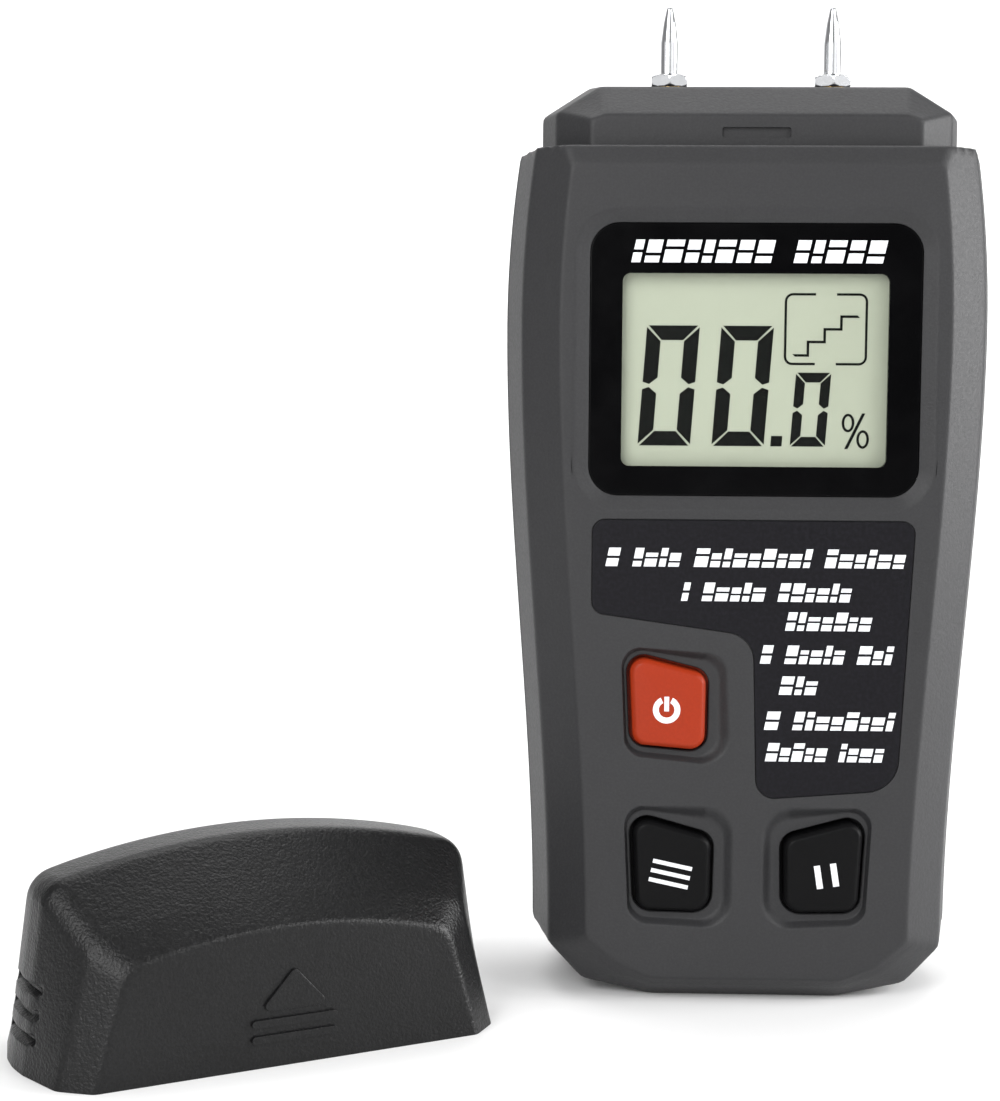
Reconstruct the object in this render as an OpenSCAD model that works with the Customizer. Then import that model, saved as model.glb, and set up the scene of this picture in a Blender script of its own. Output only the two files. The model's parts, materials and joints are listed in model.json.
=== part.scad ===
// Pin-type moisture meter for wood floors.
// The meter stands upright: +Z is the way the pins point, the front faces -Y and X runs to the right.
// The origin is the middle of the flat base.  The protective cap is off and stands on its rim.

/* [Case] */
// Largest width of the case
body_w = 67; // [60:0.5:82]
// Width across the foot of the case
base_w = 58.6; // [54:0.5:72]
// Width across the shoulders
shoulder_w = 63.4; // [60:0.5:78]
// Thickness of the case from front to back
body_d = 31; // [30:0.5:38]
// Height of the shoulders above the base
shoulder_z = 116; // [114:1:142]
// Height at which the case is widest
widest_z = 92; // [80:1:106]
// Thickness of the side and back walls
wall = 2; // [1.6:0.1:2.4]
// Thickness of the front wall
face_wall = 2.5; // [2.3:0.1:3]
// Width of the bevel round the front and back faces
bevel_w = 5.2; // [4:0.1:6.5]
// Depth of that bevel
bevel_d = 4.5; // [3:0.1:5.5]
// Gap between pieces that are on different bodies
gap = 0.3; // [0.2:0.05:0.4]

/* [Head and pins] */
// Step from the shoulder in to the head
head_step = 3; // [2.7:0.1:4]
// Height of the head above the shoulders
head_h = 9.2; // [8:0.1:12]
// Distance between the two pins
pin_pitch = 22.5; // [18:0.5:28]
// Diameter of the needle
needle_dia = 2.4; // [1.8:0.1:3]
// Length of the needle above its collar, with its point
needle_len = 9.4; // [7:0.1:14]
// Width across the flats of the collar
collar_flats = 4.9; // [4.4:0.1:6]
// Diameter of the threaded shank
shank_dia = 3; // [2.5:0.1:3.2]

/* [Protective cap] */
// Height of the cap
cap_h = 27.3; // [26:0.1:34]
// Wall thickness of the cap
cap_wall = 1.9; // [1.5:0.1:2.1]
// Height of the arched edge of its front face
cap_arch_h = 17.6; // [15:0.1:20]
// Place of the cap beside the meter, across and in depth
cap_x = -65.2; // [-80:0.1:-64]
cap_y = -30.5; // [-40:0.1:-15]
// Turn of the cap about the vertical
cap_turn = 29.5; // [15:0.1:35]

/* [Display] */
// Width and height of the black bezel
bezel_w = 44; // [43:0.5:47]
bezel_h = 36.2; // [35:0.2:39]
// Distance from the shoulders down to the top of the bezel
bezel_drop = 10.3; // [10:0.1:16]
// Width and height of the opening that shows the display
view_w = 35.4; // [30:0.2:37]
view_h = 25.7; // [20:0.2:27]
// Distance from the bottom of the bezel up to that opening
view_rise = 3.9; // [3:0.1:5]
// Depth of the bezel below the front face
bezel_sunk = 0.8; // [0.5:0.1:1]

/* [Keys] */
// Distance the keys stand out from the front face
key_proud = 0.6; // [0.3:0.1:1.2]
// Travel of a key
key_travel = 0.8; // [0.5:0.1:0.8]
// Depth of the dish round a key
dish_d = 1.1; // [0.6:0.1:1.4]

/* [Battery and door] */
// Width, thickness and height of the battery
battery_w = 26.5; // [24:0.5:28]
battery_d = 17.5; // [15:0.5:17.5]
battery_h = 48.5; // [44:0.5:50]
// Width of the battery door
door_w = 33; // [32:0.5:36]
// Height of the battery door's top edge above the base
door_top = 66; // [65:0.5:74]

/* [Board] */
// Width of the circuit board
board_w = 46; // [44:0.5:47]
// Thickness of the circuit board
board_t = 1.6; // [1:0.1:1.7]

/* [Hidden] */

eps = 0.01;
front_y = -body_d / 2;
back_y = body_d / 2;
inner_front_y = front_y + face_wall;
foot_corner_h = 7.8;
foot_knee_h = 2;
foot_flat = 13;
foot_knee_in = 5;
outer_inset = 2.3;
face_inset = outer_inset + bevel_w;
shoulder_bevel_h = 2.6;
shoulder_bevel_d = 1.2;
foot_bevel = 3.5;
side_steps = 12;

// Head
head_half = shoulder_w / 2 - head_step;
head_front = body_d / 2 - 3.7;
head_top = shoulder_z + head_h;
head_face_half = head_half - 6.6;
head_wall = 1.8;
pin_x = pin_pitch / 2;
collar_h = 1.7;
neck_r = shank_dia / 2 + 0.45;
socket_r = shank_dia / 2 + 1.5;
socket_low = shoulder_z - 7;
neck_low = head_top - head_wall - 0.4;
slot_half_w = 4.6;
slot_z = shoulder_z + 1.2;
slot_h = 1.4;
slot_depth = 0.5;
holder_low = shoulder_z - 4;
holder_high = shoulder_z + 5.5;
holder_half_w = pin_x + 6;
holder_half_d = 6;

// Display stack
bezel_top = shoulder_z - bezel_drop;
bezel_z = bezel_top - bezel_h;
bezel_r = 3.9;
bezel_t = 0.8;
bezel_floor_y = front_y + bezel_sunk + bezel_t;
view_z = bezel_z + view_rise;
view_mid_z = view_z + view_h / 2;
lcd_front_y = inner_front_y + 0.1;
lcd_t = 1.8;
lcd_w = view_w + 5;
lcd_h = view_h + 6;
frame_rim = 1.3;
strip_len = view_w;
strip_t = 1.6;
board_front_y = inner_front_y + 4.6;
board_back_y = board_front_y + board_t;
board_low = 16.5;
board_high = shoulder_z - 9;

// Keys and switches
flange_front_y = inner_front_y + 0.25;
flange_t = 0.9;
flange_rim = 1;
switch_h = 2.4;
switch_w = 6.2;
plunger_r = 1.7;
plunger_fit = 0.05;

// Battery bay
bay_wall = 1.2;
bay_half_w = battery_w / 2 + 0.7;
battery_low = 9;
bay_low = battery_low - 1;
bay_high = door_top - 1.5;
battery_back_y = back_y - wall - 0.9;
battery_front_y = battery_back_y - battery_d;
bay_floor_y = battery_front_y - 0.2;
snap_low = battery_low + battery_h + 0.1;
rail_w = 1.3;
door_inner_y = back_y - wall;
tongue_t = 0.8;
tongue_w = 1;

// Screws
low_screw = [base_w / 2 - 7.3, 12];
high_screw = [shoulder_w / 2 - 7.7, shoulder_z - 5.5];
board_screw_x = board_w / 2 - 2.5;
board_screw_zs = [30, bezel_z - 6];
case_boss_r = 2.8;
case_pilot_r = 1.1;
case_screw_r = 1.4;
case_head_r = 2.5;
board_boss_r = 2.2;
board_pilot_r = 0.8;
board_screw_r = 1;
board_head_r = 1.8;

label_t = 0.35;
label_fit = 0.1;

// ---------------------------------------------------------------- outlines

function unit(v) = v / norm(v);

// Points of the fillet of radius r at corner p, between its neighbours a and b
function fillet(a, p, b, r, steps = 5) =
    let (
        u = unit(a - p),
        v = unit(b - p),
        half = acos(u * v) / 2,
        centre = p + unit(u + v) * r / sin(half),
        first = p + u * r / tan(half) - centre,
        last = p + v * r / tan(half) - centre,
        start = atan2(first.y, first.x),
        turn = (atan2(last.y, last.x) - start + 540) % 360 - 180
    )
    [for (k = [0:steps]) centre + r * [cos(start + turn * k / steps), sin(start + turn * k / steps)]];

// A polygon's points with every corner rounded; corners are [x, z, radius]
function rounded(corners) =
    let (n = len(corners))
    [for (i = [0:n - 1])
        let (a = corners[(i + n - 1) % n], p = corners[i], b = corners[(i + 1) % n])
        each fillet([a.x, a.y], [p.x, p.y], [b.x, b.y], p.z)];

// Half width of the case at height z: an S-curve up to the widest place, then a parabola
function side_x(z) =
    let (rise = max(0, min(1, (z - foot_corner_h) / (widest_z - foot_corner_h))))
    z < widest_z
        ? base_w / 2 + (body_w - base_w) / 2 * rise * rise * (3 - 2 * rise)
        : body_w / 2 - (body_w - shoulder_w) / 2 * pow((z - widest_z) / (shoulder_z - widest_z), 2);

// Right half of the case outline, pulled in by inset, between heights low and high
function half_outline(inset, low, high) =
    let (
        foot_z = low + foot_corner_h - 0.3 * inset,
        knee_x = base_w / 2 - foot_knee_in - 0.9 * inset
    )
    concat(
        [[min(foot_flat, knee_x - 3), low], [knee_x, low + foot_knee_h]],
        [for (k = [0:side_steps])
            let (z = foot_z + (high - foot_z) * k / side_steps)
            [side_x(z) - inset, z]]
    );

function mirrored(half) = concat(half, [for (k = [len(half) - 1:-1:0]) [-half[k].x, half[k].y]]);

function at_depth(outline, y) = [for (p = outline) [p.x, y, p.y]];

// Solid through a stack of rings with equally many points, closed at both ends
module loft(rings) {
    n = len(rings[0]);
    last = len(rings) - 1;
    side_faces = [
        for (k = [0:last - 1]) for (i = [0:n - 1])
            let (j = (i + 1) % n)
            each [[k * n + i, (k + 1) * n + j, (k + 1) * n + i], [k * n + i, k * n + j, (k + 1) * n + j]]
    ];
    first_face = [[for (i = [n - 1:-1:0]) i]];
    last_face = [[for (i = [0:n - 1]) last * n + i]];
    polyhedron([for (ring = rings) each ring], concat(first_face, side_faces, last_face));
}

// Prism over an outline in X and Z, from depth y0 to y1
module prism(outline, y0, y1) {
    translate([0, y1, 0]) rotate([90, 0, 0]) linear_extrude(y1 - y0) polygon(outline);
}

// Box between two corners
module block(low, high) {
    translate(low) cube(high - low);
}

// Cylinder along Y at (x, z), from depth y0 to y1
module rod_y(x, z, r, y0, y1) {
    translate([x, y1, z]) rotate([90, 0, 0]) cylinder(r = r, h = y1 - y0, $fn = 48);
}

module both_sides() {
    children();
    mirror([1, 0, 0]) children();
}

// ---------------------------------------------------------------- case shape

// Rings of the case from its front face (side = -1) or back face (side = 1) to the middle.
// skin pulls the sides in and face_skin the face, for the hollow inside.
function case_rings(side, skin, face_skin) =
    let (
        bevel_rate = bevel_w / bevel_d,
        second_d = face_skin > 0 ? face_skin + 0.3 : shoulder_bevel_d
    )
    [
        at_depth(mirrored(half_outline(face_inset + 0.8 * skin, foot_bevel + skin,
            shoulder_z - shoulder_bevel_h - skin)), side * (body_d / 2 - face_skin)),
        at_depth(mirrored(half_outline(face_inset - bevel_rate * shoulder_bevel_d + 0.8 * skin,
            foot_bevel - shoulder_bevel_d + skin, shoulder_z - skin)), side * (body_d / 2 - second_d)),
        at_depth(mirrored(half_outline(outer_inset + skin, skin, shoulder_z - skin)),
            side * (body_d / 2 - bevel_d - 0.2 * skin)),
        at_depth(mirrored(half_outline(skin, skin, shoulder_z - skin)), 0)
    ];

function reversed(list) = [for (k = [len(list) - 1:-1:0]) list[k]];

// Loft through rings that are listed from the face to the middle
module face_loft(rings, side) {
    loft(side < 0 ? rings : reversed(rings));
}

// Outline of the head at one depth
function head_outline(low, half, chamfer_half, top, chamfer_h) = mirrored([
    [half, low], [half, top - chamfer_h], [chamfer_half, top]
]);

// Rings of the head from its face to the middle; the hollow starts below the top wall of the case
function head_rings(side, skin) =
    let (low = shoulder_z - (skin > 0 ? wall + 1 : wall / 2))
    [
        at_depth(head_outline(low, head_face_half - 0.4 * skin, head_face_half - 2 - 0.4 * skin,
            shoulder_z + 4.2 - 0.4 * skin, 0.6), side * (head_front - skin)),
        at_depth(head_outline(low, head_half - 1.9 - skin, head_face_half - 1.2 - 0.4 * skin,
            head_top - 0.7 - skin, 3.6), side * (head_front - 4.6 - 0.4 * skin)),
        at_depth(head_outline(low, head_half - skin, head_face_half - 0.4 * skin, head_top - skin, 4.2), 0)
    ];

// The same rings with the last one moved past the middle, so that a cut goes right through
function past_middle(rings, side) =
    concat(rings, [[for (p = rings[len(rings) - 1]) [p.x, -side, p.z]]]);

// One half shell of the case, hollow, with its half of the head
module case_shell(side, face_skin) {
    difference() {
        union() {
            face_loft(case_rings(side, 0, 0), side);
            face_loft(head_rings(side, 0), side);
        }
        face_loft(past_middle(case_rings(side, wall, face_skin), side), side);
        face_loft(past_middle(head_rings(side, head_wall), side), side);
        pin_holes();
    }
}

// What lies inside the outer shape of the front half (side = -1) or the back half (side = 1)
module within_case(side) {
    intersection() {
        face_loft(case_rings(side, 0, 0), side);
        children();
    }
}

// Holes that both half shells share along the top
module pin_holes() {
    both_sides() translate([pin_x, 0, head_top - 3 * head_wall])
        cylinder(r = neck_r + 0.15, h = 4 * head_wall, $fn = 48);
}

// ---------------------------------------------------------------- shapes on the front face

// Corners of the keys, in X and Z, with their radii
power_corners = [[-16.3, 48, 1.4], [-5.9, 45.4, 1.4], [-6, 35, 1.6], [-15.7, 35.8, 1.4]];
mode_corners = [[-15.7, 26, 1.6], [-4.9, 23, 1.6], [-5.1, 12.8, 2], [-15, 13, 1.6]];

// Corners of the dishes that the keys stand in
power_dish = [[-17.5, 49.2, 2.6], [-2.9, 48.3, 3], [-2.1, 32.6, 4], [-16.8, 34.1, 2.6]];
mode_dish = [[-16.9, 27.4, 2.6], [-1.8, 27.6, 4], [-1.7, 10.2, 4], [-16.1, 11, 2.6]];

// Corners of the label under the display
label_corners = [
    [-21.5, 66.3, 1.8], [21.8, 66.3, 1.8], [20, 29.8, 4.5], [1, 28.3, 2.6], [0.3, 50.6, 4], [-21.5, 53.6, 1.8]
];

// Outward normal of the edge from a to b of a ring that runs clockwise in X and Z
function outward(a, b) = unit([a.y - b.y, b.x - a.x]);

// A clockwise ring of corners with every edge moved out by grow
function grown(corners, grow) =
    let (n = len(corners))
    [for (i = [0:n - 1])
        let (
            p = corners[i],
            before = outward(corners[(i + n - 1) % n], p),
            after = outward(p, corners[(i + 1) % n]),
            shift = (before + after) * grow / (1 + before * after)
        )
        [p.x + shift.x, p.y + shift.y, p.z + grow]];

module key_hole(corners, dish) {
    prism(rounded(dish), front_y - 1, front_y + dish_d);
    prism(rounded(grown(corners, gap)), front_y - 1, inner_front_y + 1);
}

// A key: the cap through the front wall and the flange behind it
module key(corners) {
    prism(rounded(corners), front_y - key_proud, flange_front_y + eps);
    prism(rounded(grown(corners, flange_rim)), flange_front_y, flange_front_y + flange_t);
}

// Where the switch under each key stands
function key_middle(corners) = [
    [for (c = corners) c.x] * [1, 1, 1, 1] / 4,
    [for (c = corners) c.y] * [1, 1, 1, 1] / 4
];
power_spot = key_middle(power_corners);
mode_spot = key_middle(mode_corners);
hold_spot = [-mode_spot.x, mode_spot.y];
switch_front_y = board_front_y - switch_h;
plunger_front_y = flange_front_y + flange_t;
plunger_back_y = board_front_y - 1.5;

module plunger(spot) {
    rod_y(spot.x, spot.y, plunger_r, plunger_front_y, plunger_back_y);
}

// ---------------------------------------------------------------- case pieces

module display_pocket() {
    prism(rounded([for (c = rectangle(-bezel_w / 2 - gap / 2, bezel_z - gap / 2,
        bezel_w / 2 + gap / 2, bezel_top + gap / 2)) [c.x, c.y, bezel_r]]), front_y - 1, bezel_floor_y);
    prism(rounded([for (c = rectangle(-view_w / 2 - 0.8, view_z - 0.8, view_w / 2 + 0.8,
        view_z + view_h + 0.8)) [c.x, c.y, 1.2]]), front_y, inner_front_y + 1);
}

function rectangle(x0, z0, x1, z1) = [[x0, z0], [x1, z0], [x1, z1], [x0, z1]];

// Recess with sloping sides round the display
module display_rim() {
    low = [for (c = rectangle(-bezel_w / 2 - 0.3, bezel_z - 0.3, bezel_w / 2 + 0.3, bezel_top + 0.3))
        [c.x, c.y, bezel_r]];
    high = [for (c = rectangle(-bezel_w / 2 - 2, bezel_z - 2, bezel_w / 2 + 2, bezel_top + 2))
        [c.x, c.y, bezel_r + 1.7]];
    loft([at_depth(rounded(high), front_y - eps), at_depth(rounded(low), front_y + bezel_sunk - 0.1)]);
}

module front_case() color("#3e3f43") {
    difference() {
        union() {
            case_shell(-1, face_wall);
            within_case(-1) both_sides() {
                rod_y(low_screw.x, low_screw.y, case_boss_r, inner_front_y - 1, -0.15);
                rod_y(high_screw.x, high_screw.y, case_boss_r, inner_front_y - 1, -0.15);
            }
            both_sides() {
                for (z = board_screw_zs)
                    rod_y(board_screw_x, z, board_boss_r, inner_front_y - 1, board_front_y);
                block([pin_x + 1, -head_front + head_wall - eps, holder_low],
                    [pin_x + 2.2, -holder_half_d, holder_high]);
            }
        }
        block([-slot_half_w, -head_front - 1, slot_z],
            [slot_half_w, -head_front + slot_depth, slot_z + slot_h]);
        both_sides() {
            rod_y(low_screw.x, low_screw.y, case_pilot_r, inner_front_y + 1, 1);
            rod_y(high_screw.x, high_screw.y, case_pilot_r, inner_front_y + 1, 1);
            for (z = board_screw_zs)
                rod_y(board_screw_x, z, board_pilot_r, inner_front_y - 0.5, board_front_y + 1);
        }
        display_rim();
        display_pocket();
        key_hole(power_corners, power_dish);
        key_hole(mode_corners, mode_dish);
        mirror([1, 0, 0]) key_hole(mode_corners, mode_dish);
        prism(rounded(label_corners), front_y - 1, front_y + label_t);
    }
}

// Space that the door takes in the back wall, with its grooves
module door_space() {
    block([-door_w / 2 - gap, door_inner_y - 0.2, -1], [door_w / 2 + gap, back_y + 1, door_top + gap]);
    block([-door_w / 2 - gap - tongue_w, door_inner_y - gap, -1],
        [door_w / 2 + gap + tongue_w, door_inner_y + tongue_t + gap, door_top + gap]);
}

module rear_case() color("#3b3c40") {
    difference() {
        union() {
            case_shell(1, wall);
            difference() {
                union() {
                    block([-bay_half_w - bay_wall, bay_floor_y - bay_wall, bay_low - bay_wall],
                        [bay_half_w + bay_wall, door_inner_y - gap, bay_high + bay_wall]);
                    both_sides() block([bay_half_w, door_inner_y - gap - rail_w, wall - eps],
                        [door_w / 2 + gap + tongue_w + 1, door_inner_y + eps, door_top + 1]);
                }
                block([-bay_half_w, bay_floor_y, bay_low], [bay_half_w, back_y, bay_high]);
                block([-4, bay_floor_y + 1, bay_high - 1], [4, bay_floor_y + 4, bay_high + 3]);
            }
            within_case(1) both_sides() {
                rod_y(low_screw.x, low_screw.y, case_boss_r + 0.6, 0.15, back_y - wall + eps);
                rod_y(high_screw.x, high_screw.y, case_boss_r + 0.6, 0.15, back_y - wall + eps);
            }
            both_sides() {
                block([pin_x + 1, holder_half_d, holder_low],
                    [pin_x + 2.2, head_front - head_wall + eps, holder_high]);
            }
        }
        door_space();
        both_sides() for (spot = [low_screw, high_screw]) {
            rod_y(spot.x, spot.y, case_screw_r + 0.15, -1, back_y + 1);
            rod_y(spot.x, spot.y, case_head_r + 0.2, back_y - 5, back_y + 1);
        }
    }
}

module battery_door() color("#3b3c40") {
    intersection() {
        union() {
            block([-door_w / 2, door_inner_y, 0], [door_w / 2, back_y, door_top]);
            block([-door_w / 2 - tongue_w, door_inner_y, 0],
                [door_w / 2 + tongue_w, door_inner_y + tongue_t, door_top - 2]);
        }
        difference() {
            face_loft(case_rings(1, 0, 0), 1);
            for (k = [0:4])
                block([-7, back_y - 0.6, door_top - 9 + 1.6 * k], [7, back_y + 1, door_top - 8.2 + 1.6 * k]);
        }
    }
}

// ---------------------------------------------------------------- protective cap

cap_half_d = body_d / 2 - shoulder_bevel_d;
cap_steps = 12;
cap_corner_r = 4;

// Outline of the cap at one depth: leaning sides up to rounded corners, and a low crown between them
// that drops by drop from the middle to each corner
function arch(half_low, half, top, drop) =
    let (
        corner = [half, top - drop],
        crown = [for (k = [cap_steps - 2:-1:2 - cap_steps])
            [half * k / cap_steps, top - drop * pow(k / cap_steps, 2)]],
        round = fillet([half_low, 0], corner, crown[0], cap_corner_r)
    )
    concat(
        [[half_low, 0]], round, crown,
        [for (k = [len(round) - 1:-1:0]) [-round[k].x, round[k].y]], [[-half_low, 0]]
    );

// Rings of the cap from its front face to its back face, pulled in by skin
function cap_rings(skin) =
    let (
        half = shoulder_w / 2,
        face_half = half - face_inset + bevel_w * shoulder_bevel_d / bevel_d,
        bevel_y = body_d / 2 - bevel_d - 0.3 * skin,
        slope_y = bevel_y - 7.5,
        band_h = cap_arch_h + (cap_h - cap_arch_h) * 0.31,
        face = arch(face_half - 0.6 * skin, face_half - 4.2 - 0.6 * skin, cap_arch_h - 0.6 * skin, 3.2),
        band = arch(half - outer_inset - skin, half - outer_inset - 4.6 - skin, band_h - skin, 3.3),
        ridge = arch(half - 0.3 - skin, half - 3.3 - skin, cap_h - skin, 4.2),
        spine = arch(half - skin, half - 3 - skin, cap_h - skin, 4.2)
    )
    [
        at_depth(face, -cap_half_d + skin), at_depth(band, -bevel_y), at_depth(ridge, -slope_y),
        at_depth(spine, 0),
        at_depth(ridge, slope_y), at_depth(band, bevel_y), at_depth(face, cap_half_d - skin)
    ];

module protective_cap() color("#232325") {
    translate([cap_x, cap_y, 0]) rotate([0, 0, cap_turn]) {
        difference() {
            loft(cap_rings(0));
            intersection() {
                translate([0, 0, -eps]) loft(cap_rings(cap_wall));
                block([-body_w, -body_d, -1], [body_w, body_d, cap_h - cap_wall]);
            }
            both_sides() for (z = [4, 7, 10])
                block([shoulder_w / 2 - 1.1, -5, z], [shoulder_w / 2 + 2, 5, z + 1]);
        }
        prism([[-4.7, 7.2], [4.7, 7.2], [0, 12.4]], -cap_half_d - 0.4, -cap_half_d + 0.6);
        block([-5.7, -cap_half_d - 0.4, 5.2], [5.7, -cap_half_d + 0.6, 6.2]);
        block([-5.7, -cap_half_d - 0.4, 3.2], [5.7, -cap_half_d + 0.6, 4.2]);
    }
}

// ---------------------------------------------------------------- display

module display_bezel() color("#101012") {
    difference() {
        prism(rounded([for (c = rectangle(-bezel_w / 2, bezel_z, bezel_w / 2, bezel_top))
            [c.x, c.y, bezel_r]]), front_y + bezel_sunk, bezel_floor_y);
        prism(rounded([for (c = rectangle(-view_w / 2, view_z, view_w / 2, view_z + view_h))
            [c.x, c.y, 1.1]]), front_y, inner_front_y);
    }
}

module display_lens() color("#c6cbb6", 0.4) {
    prism(rounded([for (c = rectangle(-view_w / 2 + 0.05, view_z + 0.05, view_w / 2 - 0.05,
        view_z + view_h - 0.05)) [c.x, c.y, 1.05]]), front_y + bezel_sunk + 0.1, bezel_floor_y);
}

module lcd_glass() color("#bec6b1") {
    block([-lcd_w / 2, lcd_front_y, view_mid_z - lcd_h / 2],
        [lcd_w / 2, lcd_front_y + lcd_t, view_mid_z + lcd_h / 2]);
}

module lcd_frame() color("#e6e6e0") {
    outer_w = lcd_w + 2 * frame_rim + 0.2;
    outer_h = lcd_h + 2 * frame_rim + 0.2;
    difference() {
        block([-outer_w / 2, lcd_front_y, view_mid_z - outer_h / 2],
            [outer_w / 2, board_front_y, view_mid_z + outer_h / 2]);
        block([-lcd_w / 2 - 0.1, lcd_front_y - 1, view_mid_z - lcd_h / 2 - 0.1],
            [lcd_w / 2 + 0.1, lcd_front_y + lcd_t, view_mid_z + lcd_h / 2 + 0.1]);
        block([-lcd_w / 2 + 1.5, lcd_front_y - 1, view_mid_z - lcd_h / 2 + 0.5],
            [lcd_w / 2 - 1.5, board_front_y + 1, view_mid_z + lcd_h / 2 - 0.5]);
    }
}

module zebra_strip(z) {
    block([-strip_len / 2, lcd_front_y + lcd_t, z - strip_t / 2],
        [strip_len / 2, board_front_y, z + strip_t / 2]);
}

module upper_zebra_strip() color("#d9d2c4") zebra_strip(view_mid_z + lcd_h / 2 - 1.6);

module lower_zebra_strip() color("#d9d2c4") zebra_strip(view_mid_z - lcd_h / 2 + 1.6);

module label_panel() color("#1c1b20") {
    prism(rounded(grown(label_corners, -label_fit)), front_y, front_y + label_t);
}

// ---------------------------------------------------------------- keys

module power_key() color("#c4491f") key(power_corners);

module mode_key() color("#191919") key(mode_corners);

module hold_key() color("#191919") mirror([1, 0, 0]) key(mode_corners);

module power_plunger() color("#30302e") plunger(power_spot);

module mode_plunger() color("#30302e") plunger(mode_spot);

module hold_plunger() color("#30302e") plunger(hold_spot);

module switch_bodies() color("#4a4a48") {
    for (spot = [power_spot, mode_spot, hold_spot]) difference() {
        block([spot.x - switch_w / 2, switch_front_y, spot.y - switch_w / 2],
            [spot.x + switch_w / 2, board_front_y, spot.y + switch_w / 2]);
        rod_y(spot.x, spot.y, plunger_r + plunger_fit, switch_front_y - 1, board_front_y - 0.4);
    }
}

// ---------------------------------------------------------------- board

module main_board() color("#1f6a3a") {
    difference() {
        block([-board_w / 2, board_front_y, board_low], [board_w / 2, board_back_y, board_high]);
        both_sides() for (z = board_screw_zs)
            rod_y(board_screw_x, z, board_screw_r + 0.1, board_front_y - 1, board_back_y + 1);
    }
}

module controller_chip() color("#202022") {
    block([-6, board_back_y, bezel_z + 6], [6, board_back_y + 1.6, bezel_z + 18]);
    for (k = [0:9]) both_sides()
        block([6, board_back_y, bezel_z + 7 + k * 1.1], [7.2, board_back_y + 0.3, bezel_z + 7.5 + k * 1.1]);
}

module crystal_can() color("#c9c9c9") {
    block([9.5, board_back_y, bezel_z + 8], [13.5, board_back_y + 3, bezel_z + 18]);
}

module chip_resistors() color("#2a2a2a") {
    for (k = [0:5])
        block([-14.5, board_back_y, bezel_z + 5 + 2.6 * k],
            [-12.5, board_back_y + 0.6, bezel_z + 6.2 + 2.6 * k]);
}

module filter_capacitors() color("#2d3d6a") {
    for (x = [-15, 15]) rod_y(x, board_high - 8, 2.5, board_back_y, board_back_y + 5.5);
}

// ---------------------------------------------------------------- pins and sockets

module pin_holder() color("#d8d5cc") {
    difference() {
        block([-holder_half_w, -holder_half_d, holder_low], [holder_half_w, holder_half_d, holder_high]);
        both_sides() translate([pin_x, 0, holder_low - 1])
            cylinder(r = socket_r, h = holder_high - holder_low + 2, $fn = 48);
    }
}

module socket_at(x) {
    translate([x, 0, 0]) difference() {
        union() {
            translate([0, 0, socket_low]) cylinder(r = socket_r, h = neck_low - socket_low, $fn = 48);
            translate([0, 0, neck_low - eps]) cylinder(r = neck_r, h = head_top - neck_low + eps, $fn = 48);
        }
        translate([0, 0, socket_low + 3]) cylinder(d = shank_dia, h = head_h + 20, $fn = 48);
    }
}

// Needle on a hexagon collar, with a threaded shank below
module pin_at(x) {
    point_h = 5;
    translate([x, 0, head_top]) {
        translate([0, 0, -head_h]) cylinder(d = shank_dia, h = head_h + eps, $fn = 48);
        cylinder(d = collar_flats / cos(30), h = collar_h, $fn = 6);
        translate([0, 0, collar_h - eps]) cylinder(d = needle_dia, h = needle_len - point_h + eps, $fn = 48);
        translate([0, 0, collar_h + needle_len - point_h])
            rotate_extrude($fn = 48) polygon([[0, 0], for (k = [0:8])
                [needle_dia / 2 * pow(1 - k / 8, 0.8) + 0.08, point_h * k / 8], [0, point_h]]);
    }
}

module left_pin() color("#d5d8db") pin_at(-pin_x);

module right_pin() color("#d5d8db") pin_at(pin_x);

module left_socket() color("#c9a552") socket_at(-pin_x);

module right_socket() color("#c9a552") socket_at(pin_x);

module terminal_nuts() color("#c8c8c8") {
    both_sides() translate([pin_x, 0, socket_low - 1.8]) cylinder(d = 7, h = 1.8, $fn = 6);
}

// ---------------------------------------------------------------- leads

// Round wire along a path; each ring stands square to the path
module wire(path, r) {
    n = len(path);
    sides = 8;
    rings = [for (k = [0:n - 1])
        let (
            along = unit(path[min(k + 1, n - 1)] - path[max(k - 1, 0)]),
            across = unit(cross(along, abs(along.x) < 0.8 ? [1, 0, 0] : [0, 1, 0])),
            up = cross(along, across)
        )
        [for (i = [0:sides - 1])
            path[k] + r * (cos(-360 * i / sides) * across + sin(-360 * i / sides) * up)]];
    loft(rings);
}

// Points on a smooth bend from a to d, pulled towards b and c
function bend(a, b, c, d, steps = 14) = [
    for (k = [0:steps])
        let (t = k / steps, s = 1 - t)
        s * s * s * a + 3 * s * s * t * b + 3 * s * t * t * c + t * t * t * d
];

lead_r = 0.6;
lead_top = socket_low - 1.8;
lead_pad_z = board_high - 3;

// Wire that leaves its start and its end square to them, and bends smoothly between
module lead(start, start_way, end, end_way, pull) {
    a = start + start_way;
    d = end + end_way;
    wire(concat([start], bend(a, a + pull * start_way, d + pull * end_way, d), [end]), lead_r);
}

module pin_lead(x) {
    lead([x, 0, lead_top], [0, 0, -1], [x * 0.9, board_back_y, lead_pad_z], [0, 1, 0], 5);
}

module left_pin_lead() color("#2c5fa8") pin_lead(-pin_x);

module right_pin_lead() color("#2c5fa8") pin_lead(pin_x);

snap_h = 4;
snap_high = snap_low + snap_h;
pad_z = bezel_z + 2;

module battery_lead(x) {
    lead([x, bay_floor_y + 2.5, snap_high], [0, 0, 1], [x, board_back_y, pad_z], [0, 1, 0], 4);
}

module red_battery_lead() color("#c0261e") battery_lead(1.6);

module black_battery_lead() color("#1a1a1a") battery_lead(-1.6);

// ---------------------------------------------------------------- battery

module battery() color("#4c5a66") {
    block([-battery_w / 2, battery_front_y, battery_low],
        [battery_w / 2, battery_back_y, battery_low + battery_h]);
}

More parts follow.
